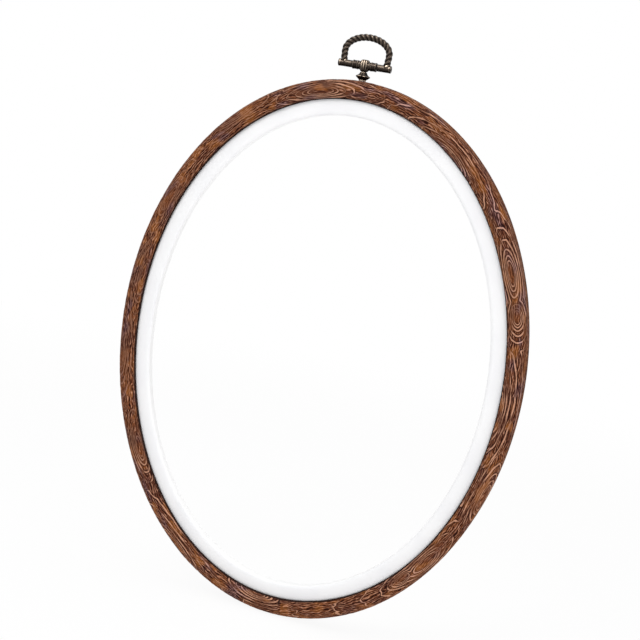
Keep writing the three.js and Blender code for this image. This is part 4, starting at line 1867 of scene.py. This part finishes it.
    def cap(self) -> None:
        """Builds the petal cap: a small bell flower with a dished rim."""
        low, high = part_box("petal_cap")
        foot = (0.0, 0.0, low.z)
        top = (high.z - low.z) / MM + self.cap_throat
        bell = ((1.5, 0.5), (2.2, 1.0), (2.9, 1.6), (2.8, 1.85), (2.0, 2.3), (1.55, 2.8))
        outline = Outline(0, 0).to(1.4, 0, 0.1).through((radius, rise, 0.2) for radius, rise in bell)
        outline.to(1.4, top, 0.08).to(0, top)
        ribbed = np.array([(0, 0.1), (0.5, 0.3), (1.6, 1.0), (2.3, 0.5), (2.8, 0.3), (top, 0.1)])
        piece = self.shop.turned(
            "petal_cap_bell", outline, Slot.BRONZE, around=self.petals * self.petal_steps, ribbed=ribbed,
            Place=foot, Ribs=self.petals, Rib_Depth=self.petal_depth * MM, Rib_Round=0.9,
        )
        bore = rod(self.cap_bore, -PAST_END, top + PAST_END)
        cutter = self.shop.turned("bore", bore, Slot.BRONZE, spacing=COARSE, Place=foot)
        combined(piece, [cutter], Cut.REMOVE)
        on_foot = corners_of(piece.data)[:, 2] < low.z + self.cap_foot * MM
        # Painted highlight on the cap's petals, and more on its foot.
        wear_and_highlight = np.where(on_foot, self.cap_foot_wear_and_highlight, self.cap_wear_and_highlight)
        metal_with_wear_and_highlight(piece, Body.HEAD, Slot.BRONZE, "petal_cap", wear_and_highlight)

    def build(self) -> None:
        """Builds every bronze piece in order."""
        self.bail()
        self.pin()
        self.head()
        self.collar("left")
        self.collar("right")
        self.cap()


@dataclass
class ScrewAndWasher:
    """Slotted screw from inside the outer hoop up into the head, and its washer."""

    shop: Workshop
    shank_radius: float = 0.8
    head_height: float = 1.1
    head_rim: float = 0.35
    tip_length: float = 0.3
    slot_width: float = 0.5
    slot_depth: float = 0.5
    thread_pitch: float = 0.35
    thread_depth: float = 0.13
    thread_start: float = 3.4
    thread_run: float = 0.4
    thread_end: float = 0.5
    washer_bore: float = 1.0

    def slot_cutter(self, radius: float, place: Corner) -> Piece:
        """Makes the block that cuts the slot.

        Args:
            radius: of the screw's head, in millimetres.
            place: the top of the head, in metres.

        Returns:
            The object.
        """
        x, y, z = radius * 2, self.slot_width / 2, self.slot_depth
        signs = [(sx, sy, sz) for sx in (-1, 1) for sy in (-1, 1) for sz in (-1, 1)]
        corners = [(sx * x * MM, sy * y * MM, (sz * z - self.head_height) * MM) for sx, sy, sz in signs]
        sides = [(0, 1, 3, 2), (4, 6, 7, 5), (0, 4, 5, 1), (2, 3, 7, 6), (0, 2, 6, 4), (1, 5, 7, 3)]
        mesh = bpy.data.meshes.new("slot")
        mesh.from_pydata(corners, [], sides)
        mesh.transform(Matrix.Translation(place))
        return linked("slot", mesh)

    def screw(self) -> None:
        """Builds the screw with a domed, slotted head and a thread where it stands in the hanger's head."""
        low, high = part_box("hanger_screw")
        top = (high.z - low.z) / MM - self.head_height
        radius, shank, tip = (high.x - low.x) / 2 / MM, self.shank_radius, self.tip_length
        outline = Outline(0, -self.head_height)
        outline.bow((0, -self.head_rim), (radius, self.head_height - self.head_rim), -90, 0, 14)
        outline.to(radius, 0, 0.08).to(shank, 0, 0.05)
        outline.to(shank, top - tip, 0.1).to(shank - tip, top, 0.05).to(0, top)
        ribbed = np.array([
            (self.thread_start - self.thread_run, 0.0), (self.thread_start, 1.0),
            (top - self.thread_end, 1.0), (top - tip, 0.0),
        ])
        place = (0.0, 0.0, low.z + self.head_height * MM)
        piece = self.shop.turned(
            "screw_slotted", outline, Slot.STEEL, spacing=0.05, ribbed=ribbed, Place=place,
            Thread_Pitch=self.thread_pitch * MM, Thread_Depth=self.thread_depth * MM,
        )
        combined(piece, [self.slot_cutter(radius, place)], Cut.REMOVE)
        metal_with_wear_and_highlight(piece, Body.HEAD, Slot.STEEL, "hanger_screw")

    def washer(self) -> None:
        """Turns the washer, with its edges broken."""
        low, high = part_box("screw_washer")
        radius, thickness = (high.x - low.x) / 2 / MM, (high.z - low.z) / MM
        outline = Outline(self.washer_bore, 0)
        outline.to(radius, 0, 0.06).to(radius, thickness, 0.12).to(self.washer_bore, thickness, 0.05)
        piece = self.shop.turned("washer_flat", outline, Slot.STEEL, closed=True, Place=(0.0, 0.0, low.z))
        metal_with_wear_and_highlight(piece, Body.OUTER, Slot.STEEL, "screw_washer")

    def build(self) -> None:
        """Builds both pieces."""
        self.screw()
        self.washer()


def swung(first: Vector, second: Vector, angle: float) -> tuple[Vector, Vector]:
    """Turns two directions in their own plane, the first one towards the second."""
    cosine, sine = math.cos(angle), math.sin(angle)
    return first * cosine + second * sine, second * cosine - first * sine


@dataclass(frozen=True)
class Lamp:
    """A soft square lamp that looks at the hoop."""

    name: str
    place: Corner
    size: float
    power: float

    def hang(self, target: Vector) -> None:
        """Hangs the lamp.

        Args:
            target: the point that it looks at.
        """
        light = bpy.data.lights.new(self.name, "AREA")
        light.shape = "SQUARE"
        light.size = self.size
        light.energy = self.power
        made = linked(self.name, light)
        made.location = self.place
        made.rotation_mode = "QUATERNION"
        made.rotation_quaternion = (target - made.location).to_track_quat("-Z", "Y")


@dataclass
class Studio:
    """White floor and background, soft light, and the camera where the photograph was taken from."""

    centre: Vector
    distance: float = 0.450
    yaw: float = 16.4
    pitch: float = 11.3
    roll: float = 10.05
    image_side: int = 640
    focal_pixels: float = 1129.5
    centre_pixel: Point = (313.4, 356.05)
    sensor: float = 36.0
    clip: Point = (0.01, 50.0)
    floor_side: float = 8.0
    floor_gap: float = 0.0003
    floor_lift: float = 0.92
    floor_white_window: Point = (0.25, 0.6)
    paper: Colour = (0.92, 0.92, 0.92, 1.0)
    paper_pale: Colour = (0.95, 0.95, 0.95, 1.0)
    paper_scale: float = 900.0
    white: Colour = (1.0, 1.0, 1.0, 1.0)
    sky_strength: float = 0.46
    lamps: tuple[Lamp, ...] = (
        Lamp("key_lamp", (-0.3, -0.6, 0.62), 0.4, 3.4),
        Lamp("top_lamp", (0.0, -0.15, 1.2), 1.0, 5.6),
        Lamp("fill_lamp", (0.9, -0.6, 0.1), 0.8, 4.2),
    )

    def camera(self) -> None:
        """Places the camera so that the middle of the hoop falls on its pixel of the photograph."""
        yaw, pitch, roll = (math.radians(v) for v in (self.yaw, self.pitch, self.roll))
        back = Vector((math.sin(yaw) * math.cos(pitch), -math.cos(yaw) * math.cos(pitch), math.sin(pitch)))
        ahead = -back
        right = ahead.cross(Vector((0, 0, 1))).normalized()
        right, up = swung(right, right.cross(ahead), roll)
        half = self.image_side / 2
        swing, tilt = (math.atan((pixel - half) / self.focal_pixels) for pixel in self.centre_pixel)
        right, ahead = swung(right, ahead, swing)
        up, ahead = swung(up, ahead, -tilt)
        data = bpy.data.cameras.new("photo_camera")
        data.sensor_width = self.sensor
        data.lens = self.focal_pixels * self.sensor / self.image_side
        data.clip_start, data.clip_end = self.clip
        made = linked("photo_camera", data)
        turned = Matrix((right, up, -ahead)).transposed().to_4x4()
        turned.translation = self.centre + back * self.distance
        made.matrix_world = turned
        bpy.context.scene.camera = made

    def seen_white(self, graph: Graph) -> Socket:
        """Marks the rays that see the background.

        Args:
            graph: the graph of a material or of the sky.

        Returns:
            1 for a ray from the camera, a gloss or a clear piece, and otherwise 0.
        """
        path = graph.node("ShaderNodeLightPath").outputs
        seen = graph.larger(path["Is Camera Ray"], path["Is Glossy Ray"])
        return graph.larger(seen, path["Is Transmission Ray"])

    def sky(self) -> None:
        """Makes the surroundings an even soft light that looks white."""
        world = bpy.data.worlds.new("studio_sky")
        world.use_nodes = True
        graph = Graph(world.node_tree)
        background = world.node_tree.nodes["Background"]
        background.inputs["Color"].default_value = self.white
        strength = graph.line(self.seen_white(graph), 1.0 - self.sky_strength, self.sky_strength)
        graph.feed(background.inputs["Strength"], strength)
        bpy.context.scene.world = world

    def floor(self) -> None:
        """Lays the white floor just under the hoop; it keeps the hoop's shadow."""
        height = CAD_BOX[0].z - self.floor_gap
        half = self.floor_side / 2
        mesh = bpy.data.meshes.new("studio_floor")
        sides = ((-half, -half), (half, -half), (half, half), (-half, half))
        mesh.from_pydata([(x, y, height) for x, y in sides], [], [(0, 1, 2, 3)])
        material, graph, shader = started_material("studio_floor", Roughness=0.9, Specular_IOR_Level=0.0)
        place = graph.place()
        paper = graph.blend(graph.noise(place, self.paper_scale, 3.0), self.paper, self.paper_pale)
        graph.feed(shader.inputs["Base Color"], paper)
        x, y, _ = graph.separate(place)
        away = graph.length(graph.combine(x, y))
        far = graph.step(away, *self.floor_white_window, self.floor_lift, 1.0)
        white = graph.out("ShaderNodeEmission", {"Color": self.white, "Strength": 1.0})
        share = graph.times(self.seen_white(graph), far)
        mixed = graph.fed(graph.node("ShaderNodeMixShader"), (share, shader.outputs[0], white))
        graph.feed(material.node_tree.nodes["Material Output"].inputs["Surface"], mixed)
        mesh.materials.append(material)
        linked("studio_floor", mesh)

    def build(self) -> None:
        """Sets up camera, background, floor, lamps and the plain view transform."""
        bpy.context.scene.view_settings.view_transform = "Standard"
        self.camera()
        self.sky()
        self.floor()
        for lamp in self.lamps:
            lamp.hang(self.centre)
        LOG.info("studio: camera, floor and %d lamps", len(self.lamps))


def main() -> None:
    """Builds the studio and every piece of the hoop in order."""
    logging.basicConfig(level=logging.INFO, format="%(name)s: %(message)s")
    oval = OvalFrame()
    shop = Workshop(WoodGrain(oval.half_width / MM, oval.half_height / MM))
    Studio(Vector((0.0, 0.0, oval.centre.z))).build()
    OuterHoop(shop, oval).build()
    InnerHoop(shop, oval).build()
    Hanger(shop).build()
    ScrewAndWasher(shop).build()


if __name__ == "__main__":
    main()
